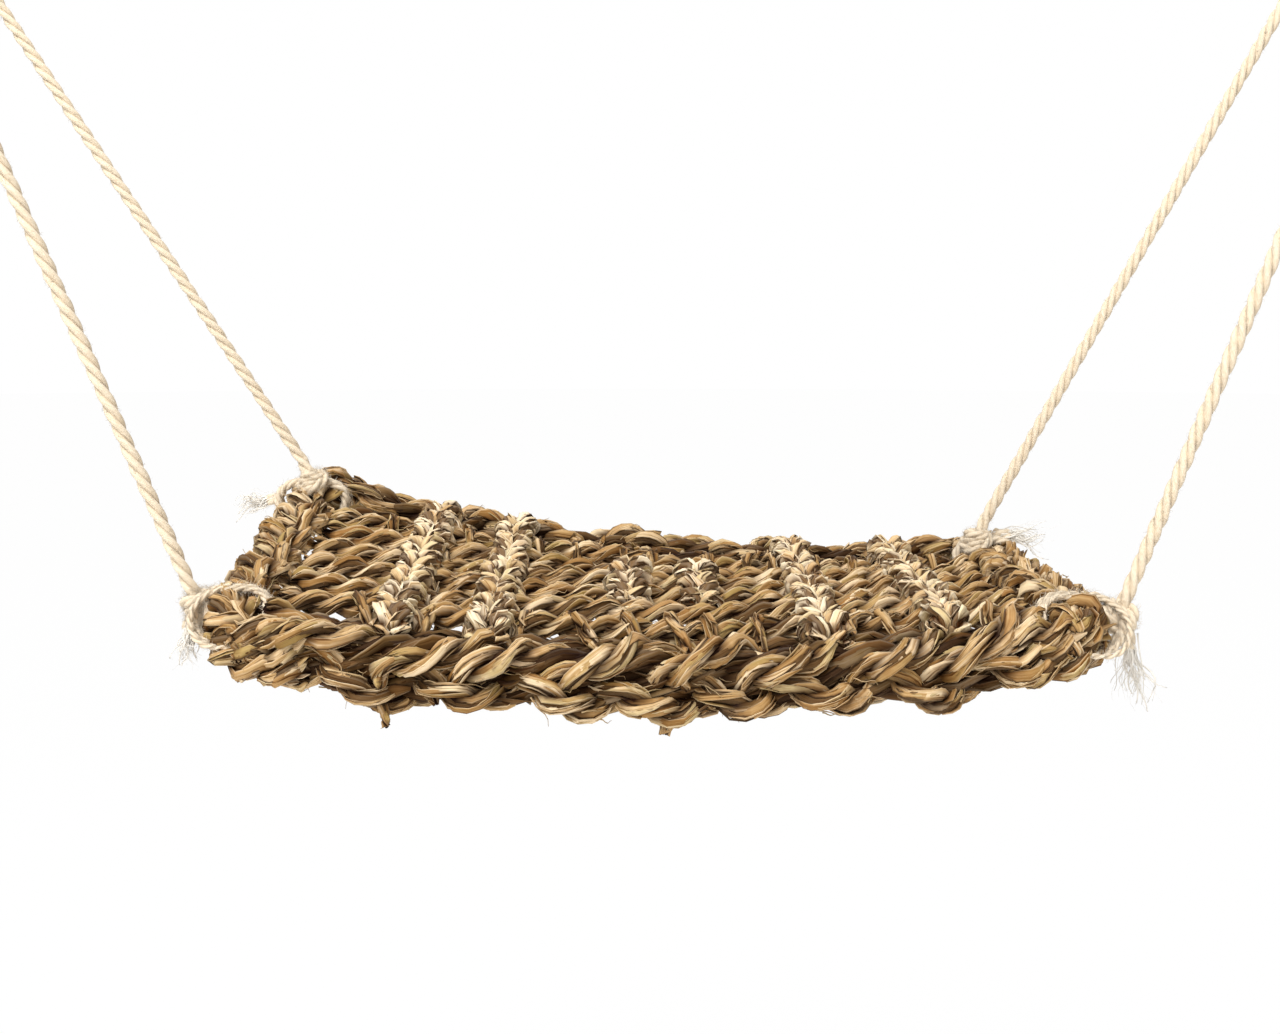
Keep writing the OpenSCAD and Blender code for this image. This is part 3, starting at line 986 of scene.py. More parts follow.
@dataclass(frozen=True)
class MatPlan:
    """Sizes and places of the mat and its cords, the same as the frame's.

    Lengths are in metres. A tuple of four has a value for each corner, in the order of Corner.

    Attributes:
        end_span: between the middles of the end plaits.
        border_span: between the middles of the borders.
        warps: number of warp cords.
        strands: strands in a plait.
        warp_d: diameter of a warp cord.
        sag: how far the middle hangs below the ends.
        rises: how much higher than the plan each corner lies.
        hang_height: from the origin down to the plan of the mat.
        strand_gap: between two strands of a plait.
        seat_gap: between two other pieces that touch.
        slope_room: extra depth of a plait for the slope of its strands.
        border_strand_d: diameter of a border strand.
        border_drop: how far a border hangs below the mat's edge.
        border_end_drop: the same at the border's ends.
        border_ease: length in which one drop passes into the other.
        end_strand_d: diameter of an end strand.
        end_plait_w: width of an end plait.
        end_overrun: how far an end plait runs past the middle of a border.
        band_x: places of the cross bands.
        tie_x: places of the short ties.
        band_d: diameter of a band's strand.
        stitch_d: diameter of an edge stitch.
        cord_d: diameter of the cotton cord.
        cord_drop: height of every cord from foot to top.
        knot_out: how far outside its sling's middle each foot knot lies.
        lean: lean of each cord from upright, in degrees.
        foot_inset: from the middle of a border to a sling.
        near_knot_drop: how far the near foot knots lie below the end plait's middle.
        near_knot_aside: from a near sling to its knot.
        foot_wraps: wraps of each foot knot.
        top_wraps: wraps of a top knot.
        loop_r: radius of a hanging loop's arch.
        loop_rise: from a loop's base to the middle of its arch.
        tail_length: length of each tail.
    """

    end_span: float = 290 * MM
    border_span: float = 144 * MM
    warps: int = 6
    strands: int = 3
    warp_d: float = 8.4 * MM
    sag: float = 11 * MM
    rises: tuple[float, float, float, float] = (2 * MM, 2 * MM, 5 * MM, 33 * MM)
    hang_height: float = 300 * MM
    strand_gap: float = 0.2 * MM
    seat_gap: float = 0.3 * MM
    slope_room: float = 1.2
    border_strand_d: float = 9.4 * MM
    border_drop: float = 8 * MM
    border_end_drop: float = 3 * MM
    border_ease: float = 30 * MM
    end_strand_d: float = 5.6 * MM
    end_plait_w: float = 20.2 * MM
    end_overrun: float = 6 * MM
    band_x: tuple[float, ...] = (-91 * MM, -58 * MM, 60 * MM, 102 * MM)
    tie_x: tuple[float, ...] = (-9 * MM, 18 * MM)
    band_d: float = 4.4 * MM
    stitch_d: float = 4 * MM
    cord_d: float = 4.5 * MM
    cord_drop: float = 242 * MM
    knot_out: tuple[float, float, float, float] = (16 * MM, 19 * MM, 0.0, 6 * MM)
    lean: tuple[float, float, float, float] = (21.6, 20.8, 28.4, 32.2)
    foot_inset: float = 14.4 * MM
    near_knot_drop: float = 1 * MM
    near_knot_aside: float = 3.3 * MM
    foot_wraps: tuple[int, int, int, int] = (3, 3, 2, 2)
    top_wraps: int = 3
    loop_r: float = 9 * MM
    loop_rise: float = 19.8 * MM
    tail_length: tuple[float, float, float, float] = (11 * MM, 20 * MM, 20 * MM, 14 * MM)

    def plait_depth(self, strand_d: float, pitch: float) -> float:
        """How far a strand swings in and out so that crossing strands stay a gap apart.

        It is the strand and its gap, times one over the root of three plus the slope room's
        share of strand and gap in the pitch.
        """
        strand = strand_d + self.strand_gap
        return strand * (1 / math.sqrt(3) + self.slope_room * strand / pitch)

    @property
    def border_pitch(self) -> float:
        """Length in which a border strand swings once up and down."""
        return 10 * (self.border_strand_d + self.strand_gap)

    @property
    def border_swing(self) -> float:
        """How far a border strand swings up and down: 1.04 of its diameter."""
        return 1.04 * self.border_strand_d

    @property
    def border_depth(self) -> float:
        """How far a border strand swings in and out."""
        return self.plait_depth(self.border_strand_d, self.border_pitch)

    @property
    def border_half_y(self) -> float:
        """Half the width of a border plait."""
        return self.border_depth + self.border_strand_d / 2

    @property
    def mat_reach(self) -> float:
        """Distance of a warp cord's ends from the middle."""
        return self.end_span / 2 - self.end_plait_w / 2 - self.seat_gap

    @property
    def border_reach(self) -> float:
        """Distance of a border plait's ends from the middle, less the lean of a strand's end."""
        slope = math.atan(TAU * self.border_swing / self.border_pitch)
        return self.mat_reach - math.sin(slope) * self.border_strand_d / 2

    @property
    def warp_gap(self) -> float:
        """Distance between the middles of two warp cords."""
        return (self.border_span - 2 * self.border_half_y) / (self.warps + 1)

    @property
    def end_pitch(self) -> float:
        """Length in which an end strand swings once."""
        return self.strands * self.warp_gap

    @property
    def end_swing(self) -> float:
        """How far an end strand swings along X."""
        return (self.end_plait_w - self.end_strand_d) / 2

    @property
    def end_depth(self) -> float:
        """How far an end strand swings up and down."""
        return self.plait_depth(self.end_strand_d, self.end_pitch)

    @property
    def end_reach(self) -> float:
        """Distance of an end plait's ends from the middle."""
        return self.border_span / 2 + self.end_overrun

    @property
    def band_height(self) -> float:
        """How far a band's strand stands over a warp cord's middle.

        It is 1.03 times half of both diameters, plus the seat gap.
        """
        return 1.03 * (self.warp_d + self.band_d) / 2 + self.seat_gap

    @property
    def band_spread(self) -> float:
        """How far a band's strands part where they cross."""
        return (self.band_d + self.strand_gap) / 2

    @property
    def band_reach(self) -> float:
        """Distance of a band's ends from the middle."""
        return self.border_span / 2 - self.border_half_y - self.seat_gap

    def stitch_places(self) -> list[tuple[int, float]]:
        """Numbers and places of the edge stitches, where a border strand lies innermost.

        The first stands three eighths of a border pitch along and the rest every sixth of a
        pitch, within the border's reach and clear of the cross bands.
        """
        start, step = 0.375 * self.border_pitch, self.border_pitch / (2 * self.strands)
        reach = self.border_reach - self.warp_d
        clear = self.band_spread + (self.band_d + self.stitch_d) / 2 + self.seat_gap
        numbers = range(math.ceil((-reach - start) / step), math.floor((reach - start) / step) + 1)
        places = [(number, start + number * step) for number in numbers]
        return [(number, x) for number, x in places if min(abs(x - band) for band in self.band_x) > clear]

    @property
    def sling_r(self) -> float:
        """Radius of a sling's half rings: round the end plait, rounded up to a tenth."""
        tight = self.end_depth + self.end_strand_d / 2 + self.seat_gap + self.cord_r
        return math.ceil(10 * tight / MM) / 10 * MM

    @property
    def sling_half(self) -> float:
        """Length of a sling's straight run to either side, rounded up to a tenth."""
        tight = self.end_plait_w / 2 + self.seat_gap + self.cord_r - self.sling_r
        return math.ceil(10 * tight / MM) / 10 * MM

    @property
    def foot_y(self) -> float:
        """Distance of the slings from the middle, across the mat."""
        return self.border_span / 2 - self.foot_inset

    @property
    def knot_core(self) -> float:
        """Radius of the line that a knot's wraps follow: three quarters of the cord."""
        return 0.75 * self.cord_d

    @property
    def wrap_rise(self) -> float:
        """Height from one wrap of a knot to the next: 0.78 of the cord."""
        return 0.78 * self.cord_d

    @property
    def first_warp_y(self) -> float:
        """Where the nearest warp cord lies."""
        return -self.warp_gap * (self.warps - 1) / 2

    @property
    def cord_r(self) -> float:
        """Radius of the cotton cord."""
        return self.cord_d / 2

    @property
    def joint_room(self) -> float:
        """Height of a knot's base over the cord's turning point."""
        return self.cord_r + self.seat_gap

    def knot_height(self, wraps: int) -> float:
        """Height of a knot: a rise for each wrap after the first, plus the cord's diameter."""
        return (wraps - 1) * self.wrap_rise + self.cord_d

    def height(self, x: np.ndarray, y: np.ndarray) -> np.ndarray:
        """The mat's middle surface: a twisted sheet through the corners, less a sag along X.

        With u and v running from 0 to 1 along X and Y, it is the corner heights weighted by
        (1-u)(1-v), u(1-v), uv and (1-u)v, less sag times 1 - (2x / end_span)^2.
        """
        u, v = x / self.end_span + 0.5, y / self.border_span + 0.5
        corners = (1 - u) * (1 - v), u * (1 - v), u * v, (1 - u) * v
        raised = sum(weight * rise for weight, rise in zip(corners, self.rises))
        return raised - self.sag * (1 - (2 * x / self.end_span) ** 2) - self.hang_height

    def sling_middle(self, corner: Corner) -> np.ndarray:
        """The middle of the end plait inside a sling."""
        x, y = corner.side_x * self.end_span / 2, corner.side_y * self.foot_y
        return np.array([x, y, self.height(x, y)])

    def sling_outer(self, corner: Corner) -> float:
        """Length of a sling's straight runs outwards of the middle of the plait."""
        aside = self.sling_r + self.near_knot_aside if corner.is_near else 0.0
        return max(self.sling_half, self.knot_out[corner.order] - aside)

    def knot_place(self, corner: Corner) -> np.ndarray:
        """The middle of a foot knot: beside a near sling, or on top of a far one."""
        half = self.knot_height(self.foot_wraps[corner.order]) / 2
        rise = -self.near_knot_drop if corner.is_near else self.sling_r - self.cord_r + half
        out = corner.side_x * self.knot_out[corner.order]
        return self.sling_middle(corner) + np.array([out, 0.0, rise])

    def foot(self, corner: Corner) -> np.ndarray:
        """Where a cord's foot turns, over its foot knot."""
        half = self.knot_height(self.foot_wraps[corner.order]) / 2
        return self.knot_place(corner) + Z_AXIS * (half + self.joint_room)

    def leaning(self, corner: Corner) -> np.ndarray:
        """The unit direction from a cord's foot to its top."""
        angle = math.radians(self.lean[corner.order])
        return np.array([corner.side_x * math.sin(angle), 0.0, math.cos(angle)])

    def cord_top(self, corner: Corner) -> np.ndarray:
        """Where a cord's top turns, under its top knot."""
        along = self.leaning(corner)
        return self.foot(corner) + along * self.cord_drop / along[2]


# ---------------------------------------------------------------- the woven mat


@dataclass
class Weaver:
    """The woven mat: warp cords, bands, borders and end plaits.

    Attributes:
        plan: sizes and places.
        leaf: material of the mat.
        pale: material of the bands.
        thick: blades of the warp cords.
        border: blades of the border strands.
        lining: blades darkened with painted shade that fill the gaps inside the borders and run beside the
            outermost warp cords.
        plait: blades of the end plaits.
        chained: blades of a band's chains.
        mirrored: blades of the chain that is twisted the other way.
        wound: blades of the wraps round a band.
        stitched: blades of the edge stitches and the cut ends.
    """

    plan: MatPlan
    leaf: bpy.types.Material
    pale: bpy.types.Material
    thick: LeafStyle = LeafStyle()
    border: LeafStyle = LeafStyle(
        lay=29 * MM, leaves=7, width=3.0 * MM, length=26 * MM, fullness=1.05, stray=0.08,
    )
    # Blades darkened with painted shade, set in the gaps of the borders where only shade would show.
    lining: LeafStyle = LeafStyle(
        lay=30 * MM, leaves=4, width=4.4 * MM, length=30 * MM, fullness=1.0, stray=0.1,
        tone=0.35, rings=7, depth=0.75,
    )
    plait: LeafStyle = LeafStyle(
        lay=21 * MM, leaves=5, width=3.9 * MM, length=18 * MM, thickness=0.9 * MM,
        fullness=1.55, stray=0.12, rings=7,
    )
    chained: LeafStyle = LeafStyle(
        lay=14 * MM, leaves=3, width=3.9 * MM, length=9.5 * MM, thickness=0.7 * MM,
        fullness=1.32, shingle=0.22 * MM, tone=0.78, rings=6, ragged=2 * MM,
    )
    mirrored: LeafStyle = LeafStyle(
        lay=-12 * MM, leaves=3, width=3.7 * MM, length=8.5 * MM, thickness=0.7 * MM,
        fullness=1.32, shingle=0.22 * MM, tone=0.7, rings=6, ragged=2 * MM,
    )
    wound: LeafStyle = LeafStyle(
        plies=1, lay=40 * MM, leaves=5, width=2.4 * MM, length=16 * MM, thickness=0.5 * MM,
        fullness=0.9, shingle=0.4 * MM, stray=0.1, tone=0.62, rings=6, ragged=3 * MM,
    )
    # Their depth darkens the stitches and cut ends a little with painted shade.
    stitched: LeafStyle = LeafStyle(
        lay=38 * MM, leaves=3, length=15 * MM, thickness=0.6 * MM, fullness=1.25,
        shingle=0.3 * MM, stray=0.12, tone=0.3, rings=6, ragged=3 * MM, depth=0.25,
    )

    def build(self) -> None:
        """Make every woven piece."""
        plan = self.plan
        for number in range(1, plan.warps + 1):
            self.warp(number)
        kinds = (
            ("cross", "band", plan.band_x, plan.band_reach, Seed.BAND),
            ("middle", "tie", plan.tie_x, plan.warp_gap, Seed.TIE),
        )
        for place, kind, middles, reach, seed in kinds:
            for number, x in enumerate(middles, 1):
                name = f"{place}_wrapped_{kind}_{number}"
                self.band(f"{place}_{kind}_{number}", name, x, reach, seed.source(number))
        for label, side in (("front", -1), ("back", 1)):
            self.edge_ties(label, side)
            for strand in range(1, plan.strands + 1):
                self.border_strand(label, side, strand)
        for label, side in (("left", -1), ("right", 1)):
            for strand in range(1, plan.strands + 1):
                self.end_strand(label, side, strand)

    def warp(self, number: int) -> None:
        """One two-ply cord from end to end: y stays, and z follows the mat."""
        rng = Seed.WARP.source(number)
        plan = self.plan
        x = np.linspace(-plan.mat_reach, plan.mat_reach, 180)
        y = np.full_like(x, plan.first_warp_y + (number - 1) * plan.warp_gap)
        route = Route(np.stack([x, y, plan.height(x, y)], axis=1)).drifted(rng, 38 * MM, 1.8 * MM)
        radius = plan.warp_d / 2
        shells = [leaf_rope(route, radius, self.thick, rng), self.straws(route, radius, 26, rng)]
        self.dress(f"warp_{number}_leaves", f"warp_cord_{number}", shells)

    def dress(self, name: str, node: str, shells: Iterable[Shell]) -> None:
        """Make a piece of the mat from its shells."""
        piece(name, Shell.joined(shells), self.leaf, [node])

    def straws(self, route: Route, radius: float, count: int, rng: np.random.Generator) -> Shell:
        """Loose thin straws that leave a cord at random places and run slantwise along it.

        Args:
            route: the cord's line.
            radius: radius of the cord.
            count: number of straws.
            rng: the seeded source of their places.

        Returns:
            The straws, whose tips stand up to 3.2 mm off the cord.
        """
        s = rng.uniform(0.02, 0.9, (count, 1)) * route.length
        angle = rng.uniform(0, TAU, (count, 1))
        roots = route.beside(s, radius, angle)
        reach = radius + rng.uniform(0.4, 3.2, (count, 1)) * MM
        ahead = s + rng.uniform(4, 11, (count, 1)) * MM
        swing = angle + rng.uniform(-0.8, 0.8, (count, 1))
        tips = route.beside(ahead, reach, swing)
        return fibres(roots, tips, 0.28 * MM, 1.0 * MM, 0.4 * MM, rng, rings=7, sides=4, tone=0.6)

    def band(self, node: str, name: str, x: float, reach: float, rng: np.random.Generator) -> None:
        """A band across the warp cords: two chains over them, one under them, and a wrap in every gap.

        Across the mat a chain stands at a height that swings by the cosine of p, where p passes
        once round from each warp cord to the next: highest over a cord and lower between cords.

        Args:
            node: the node that it replaces.
            name: its own name.
            x: its place along the mat.
            reach: half its length across the mat.
            rng: the seeded source of its variety.
        """
        plan = self.plan
        ends = reach + 6 * MM
        size = (3.3 if reach > plan.warp_gap else 3.9) * MM
        y = np.linspace(-ends, ends, 170)
        crest = np.cos(TAU * (y - plan.first_warp_y) / plan.warp_gap)
        tuck = 5 * MM * (1 - smooth_step((ends - np.abs(y)) / (7 * MM)))
        height = plan.height(np.full_like(y, x), y) - tuck
        shells = []
        chains = ((-3.5 * MM, 1.0, self.chained), (3.5 * MM, 1.0, self.mirrored), (0.0, -1.0, self.chained))
        for aside, way, style in chains:
            across = x + aside + wander(rng, y, 14 * MM, 0.9 * MM)
            rise = height + way * plan.band_height * (0.80 + 0.17 * crest)
            route = Route(np.stack([across, y, rise], axis=1), X_AXIS)
            shells.append(leaf_rope(route, size, style, rng))
        gaps = plan.first_warp_y + (np.arange(plan.warps + 1) - 0.5) * plan.warp_gap
        for gap in gaps[np.abs(gaps) < reach + 1 * MM]:
            shells.append(self.wrap(x, float(gap), rng))
        piece(name, Shell.joined(shells), self.pale, [node])

    def wrap(self, x: float, y: float, rng: np.random.Generator) -> Shell:
        """A turn and a half of pale leaf round a band: an oval in XZ that drifts along Y."""
        share = np.linspace(0, 1.0, 60)
        angle = 1.5 * TAU * share + rng.uniform(0, TAU)
        size = (5.4 + rng.uniform(-0.5, 0.6)) * MM
        across = x + 1.45 * size * np.cos(angle)
        place = y + rng.uniform(-2.2, 2.2) * MM * np.cos(angle + 0.8) + (share - 0.5) * 6.5 * MM
        rise = self.plan.height(np.array(x), np.array(y)) + size * np.sin(angle)
        route = Route(np.stack([across, place, rise], axis=1), Y_AXIS)
        return leaf_rope(route, 2.4 * MM, self.wound, rng)

    def border_line(self, side: int, x: np.ndarray) -> np.ndarray:
        """The middle of a border plait: below the mat's edge by a fall that eases in from the ends."""
        plan = self.plan
        ease = smooth_step((plan.border_reach - np.abs(x)) / plan.border_ease)
        fall = plan.border_end_drop + (plan.border_drop - plan.border_end_drop) * ease
        y = np.full_like(x, side * plan.border_span / 2)
        return np.stack([x, y, plan.height(x, y) - fall], axis=1)

    def border_strand(self, label: str, side: int, strand: int) -> None:
        """One strand of a border plait that stands on edge under the mat's outermost edge.

        With p passing once round in every pitch, it swings up and down by sin p and in and out
        by sin 2p about the plait's middle. A strand darkened with painted shade runs inside the plait.
        """
        rng = Seed.BORDER.source(10 * (side + 1) + strand)
        plan = self.plan
        x = np.linspace(-plan.border_reach, plan.border_reach, 240)
        phase = TAU * (x / plan.border_pitch + strand / plan.strands) + wander(rng, x, 34 * MM, 0.5)
        swing = 1 + wander(rng, x, 26 * MM, 0.2)
        points = self.border_line(side, x)
        points[:, 1] += side * plan.border_depth * np.sin(2 * phase)
        points[:, 2] += 0.93 * plan.border_swing * swing * np.sin(phase)
        route = Route(points).drifted(rng, 22 * MM, 1.6 * MM)
        radius = plan.border_strand_d / 2
        inner = self.border_line(side, 0.94 * x) + np.array([0.0, -side * 1.5 * MM, (strand - 2) * 6 * MM])
        shells = [
            leaf_rope(route, radius, self.border, rng),
            leaf_rope(Route(inner).drifted(rng, 20 * MM, 1.5 * MM), radius, self.lining, rng),
            self.straws(route, radius, 40, rng),
        ]
        shells += [self.stub(route, side, rng) for _ in range(2)]
        self.dress(f"{label}_border_leaves_{strand}", f"{label}_border_strand_{strand}", shells)

    def stub(self, route: Route, side: int, rng: np.random.Generator) -> Shell:
        """A short cut end that leaves a border strand downwards and outwards."""
        s = np.full((1, 1), rng.uniform(0.06, 0.94) * route.length)
        start = route.place(s, np.zeros((1, 1, 1)), np.zeros((1, 1, 1)))[0, 0, 0]
        way = unit(np.array([rng.uniform(-0.6, 0.6), side * rng.uniform(0.1, 0.5), -1.0]))
        share = np.linspace(0.0, 1.0, 24)[:, None]
        length = rng.uniform(7.5, 10) * MM
        return leaf_rope(Route(start + way * length * share, X_AXIS), 1.4 * MM, self.stitched, rng)

    def edge_ties(self, label: str, side: int) -> None:
        """The stitches that tie an outermost warp cord to its border plait.

        Each is a hairpin in the plane of one x: up a leg from the innermost border strand, half
        round and over the warp cord on a circle, and back down beside the first leg. Two runner
        cords lie beside the warp cord, where the mat meets the border; painted shade darkens them.
        """
        rng = Seed.EDGE_TIES.source(side)
        plan = self.plan
        ring = plan.warp_d / 2 + plan.seat_gap + plan.stitch_d / 2
        x = np.linspace(-plan.border_reach, plan.border_reach, 160)
        shells = []
        for inwards, fall in ((14.5 * MM, 3 * MM), (20 * MM, 5 * MM)):
            y = np.full_like(x, side * (plan.border_span / 2 - inwards))
            runner = Route(np.stack([x, y, plan.height(x, y) - fall], axis=1)).drifted(rng, 24 * MM, 1.5 * MM)
            shells.append(leaf_rope(runner, 4.2 * MM, self.lining, rng))
        for number, x in plan.stitch_places():
            middle = np.array([-side * plan.first_warp_y, 0.0])
            middle[1] = plan.height(np.array(x), middle[0])
            strand = self.border_line(side, np.array([x]))[0, 1:]
            strand = strand - [side * plan.border_depth, 0.0]
            strand[1] += plan.border_swing * math.sin(math.pi / 4) * (1 if number % 2 == 0 else -1)
            way = unit(strand - middle)
            across = np.array([-way[1], way[0]])
            angle = np.linspace(0.5 * np.pi, 1.5 * np.pi, 26)[:, None]
            arc = middle + (ring - 2 * MM) * (np.cos(angle) * way + np.sin(angle) * across)
            up, down = straight(strand, arc[0], 16), straight(arc[-1], strand, 16)
            plane = np.concatenate([up[:-1], arc, down[1:]])
            place = x + rng.uniform(-4, 4) * MM
            legs = rng.uniform(-11, 11, 2) * MM
            share = np.linspace(0.0, 1.0, len(plane))
            lean = legs[0] * np.clip(1 - 3 * share, 0, 1) + legs[1] * np.clip(3 * share - 2, 0, 1)
            points = np.stack([place + lean, plane[:, 0], plane[:, 1]], axis=1)
            size = rng.uniform(0.6, 0.95) * plan.stitch_d / 2
            shells.append(leaf_rope(Route(points, X_AXIS), size, self.stitched, rng))
        self.dress(f"{label}_edge_ties", f"{label}_edge_stitches", shells)

    def end_strand(self, label: str, side: int, strand: int) -> None:
        """One strand of an end plait that lies flat: it swings along X by sin p and in Z by sin 2p.

        Each of its ends runs on into a turn of the corner, towards the border plait.
        """
        rng = Seed.END.source(10 * (side + 1) + strand)
        plan = self.plan
        y = np.linspace(-plan.end_reach, plan.end_reach, 200)
        phase = TAU * ((y - plan.first_warp_y) / plan.end_pitch + strand / plan.strands) + math.pi / 2
        tuck = smooth_step((plan.end_reach - np.abs(y)) / (14 * MM))
        swing = plan.end_swing * (0.3 + 0.7 * tuck) * np.sin(phase)
        x = side * (plan.end_span / 2 - swing - 7 * MM * (1 - tuck))
        edge = plan.height(np.full_like(y, side * plan.end_span / 2), y) - 6 * MM * (1 - tuck)
        points = np.stack([x, y, edge + plan.end_depth * np.sin(2 * phase)], axis=1)
        route = Route(points).drifted(rng, 16 * MM, 1.2 * MM)
        radius = plan.end_strand_d / 2
        shells = [leaf_rope(route, radius, self.plait, rng), self.straws(route, 1.3 * radius, 24, rng)]
        shells += [self.corner_turn(side, end, strand, rng) for end in (-1, 1)]
        if (side, strand) == (-1, 1):
            shells.append(self.corner_bulge(rng))
        self.dress(f"{label}_end_leaves_{strand}", f"{label}_end_strand_{strand}", shells)

    def corner_turn(self, side: int, end: int, strand: int, rng: np.random.Generator) -> Shell:
        """A quarter turn of cord at a corner: a bent line from the border plait to the end plait.

        At a share t of its length it stands on the curve (1-t)^2 a + 2t(1-t) b + t^2 c, with b
        at the corner.
        """
        plan = self.plan
        border = self.border_line(end, np.array([side * (plan.border_reach - 16 * MM)]))[0]
        lift = (strand - 2) * 6.5 * MM
        first = border + np.array([0.0, end * 2 * MM, lift])
        edge, y = side * plan.end_span / 2, end * (plan.end_reach - 1 * MM)
        height = float(plan.height(edge, y)) + 0.9 * lift - 5 * MM
        turn = np.array([edge + side * 14 * MM, y + end * 4 * MM, height])
        y = end * (plan.foot_y - 6 * MM)
        last = np.array([edge + side * 1 * MM, y, float(plan.height(edge, y)) + 0.5 * lift])
        t = np.linspace(0.0, 1.0, 60)[:, None]
        points = (1 - t) ** 2 * first + 2 * t * (1 - t) * turn + t**2 * last
        route = Route(points).drifted(rng, 12 * MM, 0.8 * MM)
        return leaf_rope(route, 1.35 * plan.end_strand_d / 2, self.plait, rng)

    def corner_bulge(self, rng: np.random.Generator) -> Shell:
        """The raised loop of cord at the lifted corner: a whole turn that rises behind the knot."""
        plan = self.plan
        angle = np.linspace(-0.6 * np.pi, 1.4 * np.pi, 70)
        x = -plan.end_span / 2 + 5 * MM + 10 * MM * np.cos(angle)
        y = np.full_like(x, plan.border_span / 2 - 5 * MM) + 3 * MM * np.cos(angle)
        z = plan.height(x, y) - 2 * MM + 10 * MM * np.sin(angle)
        return leaf_rope(Route(np.stack([x, y, z], axis=1), Y_AXIS), 4.2 * MM, self.border, rng)


# ---------------------------------------------------------------- the cotton cords


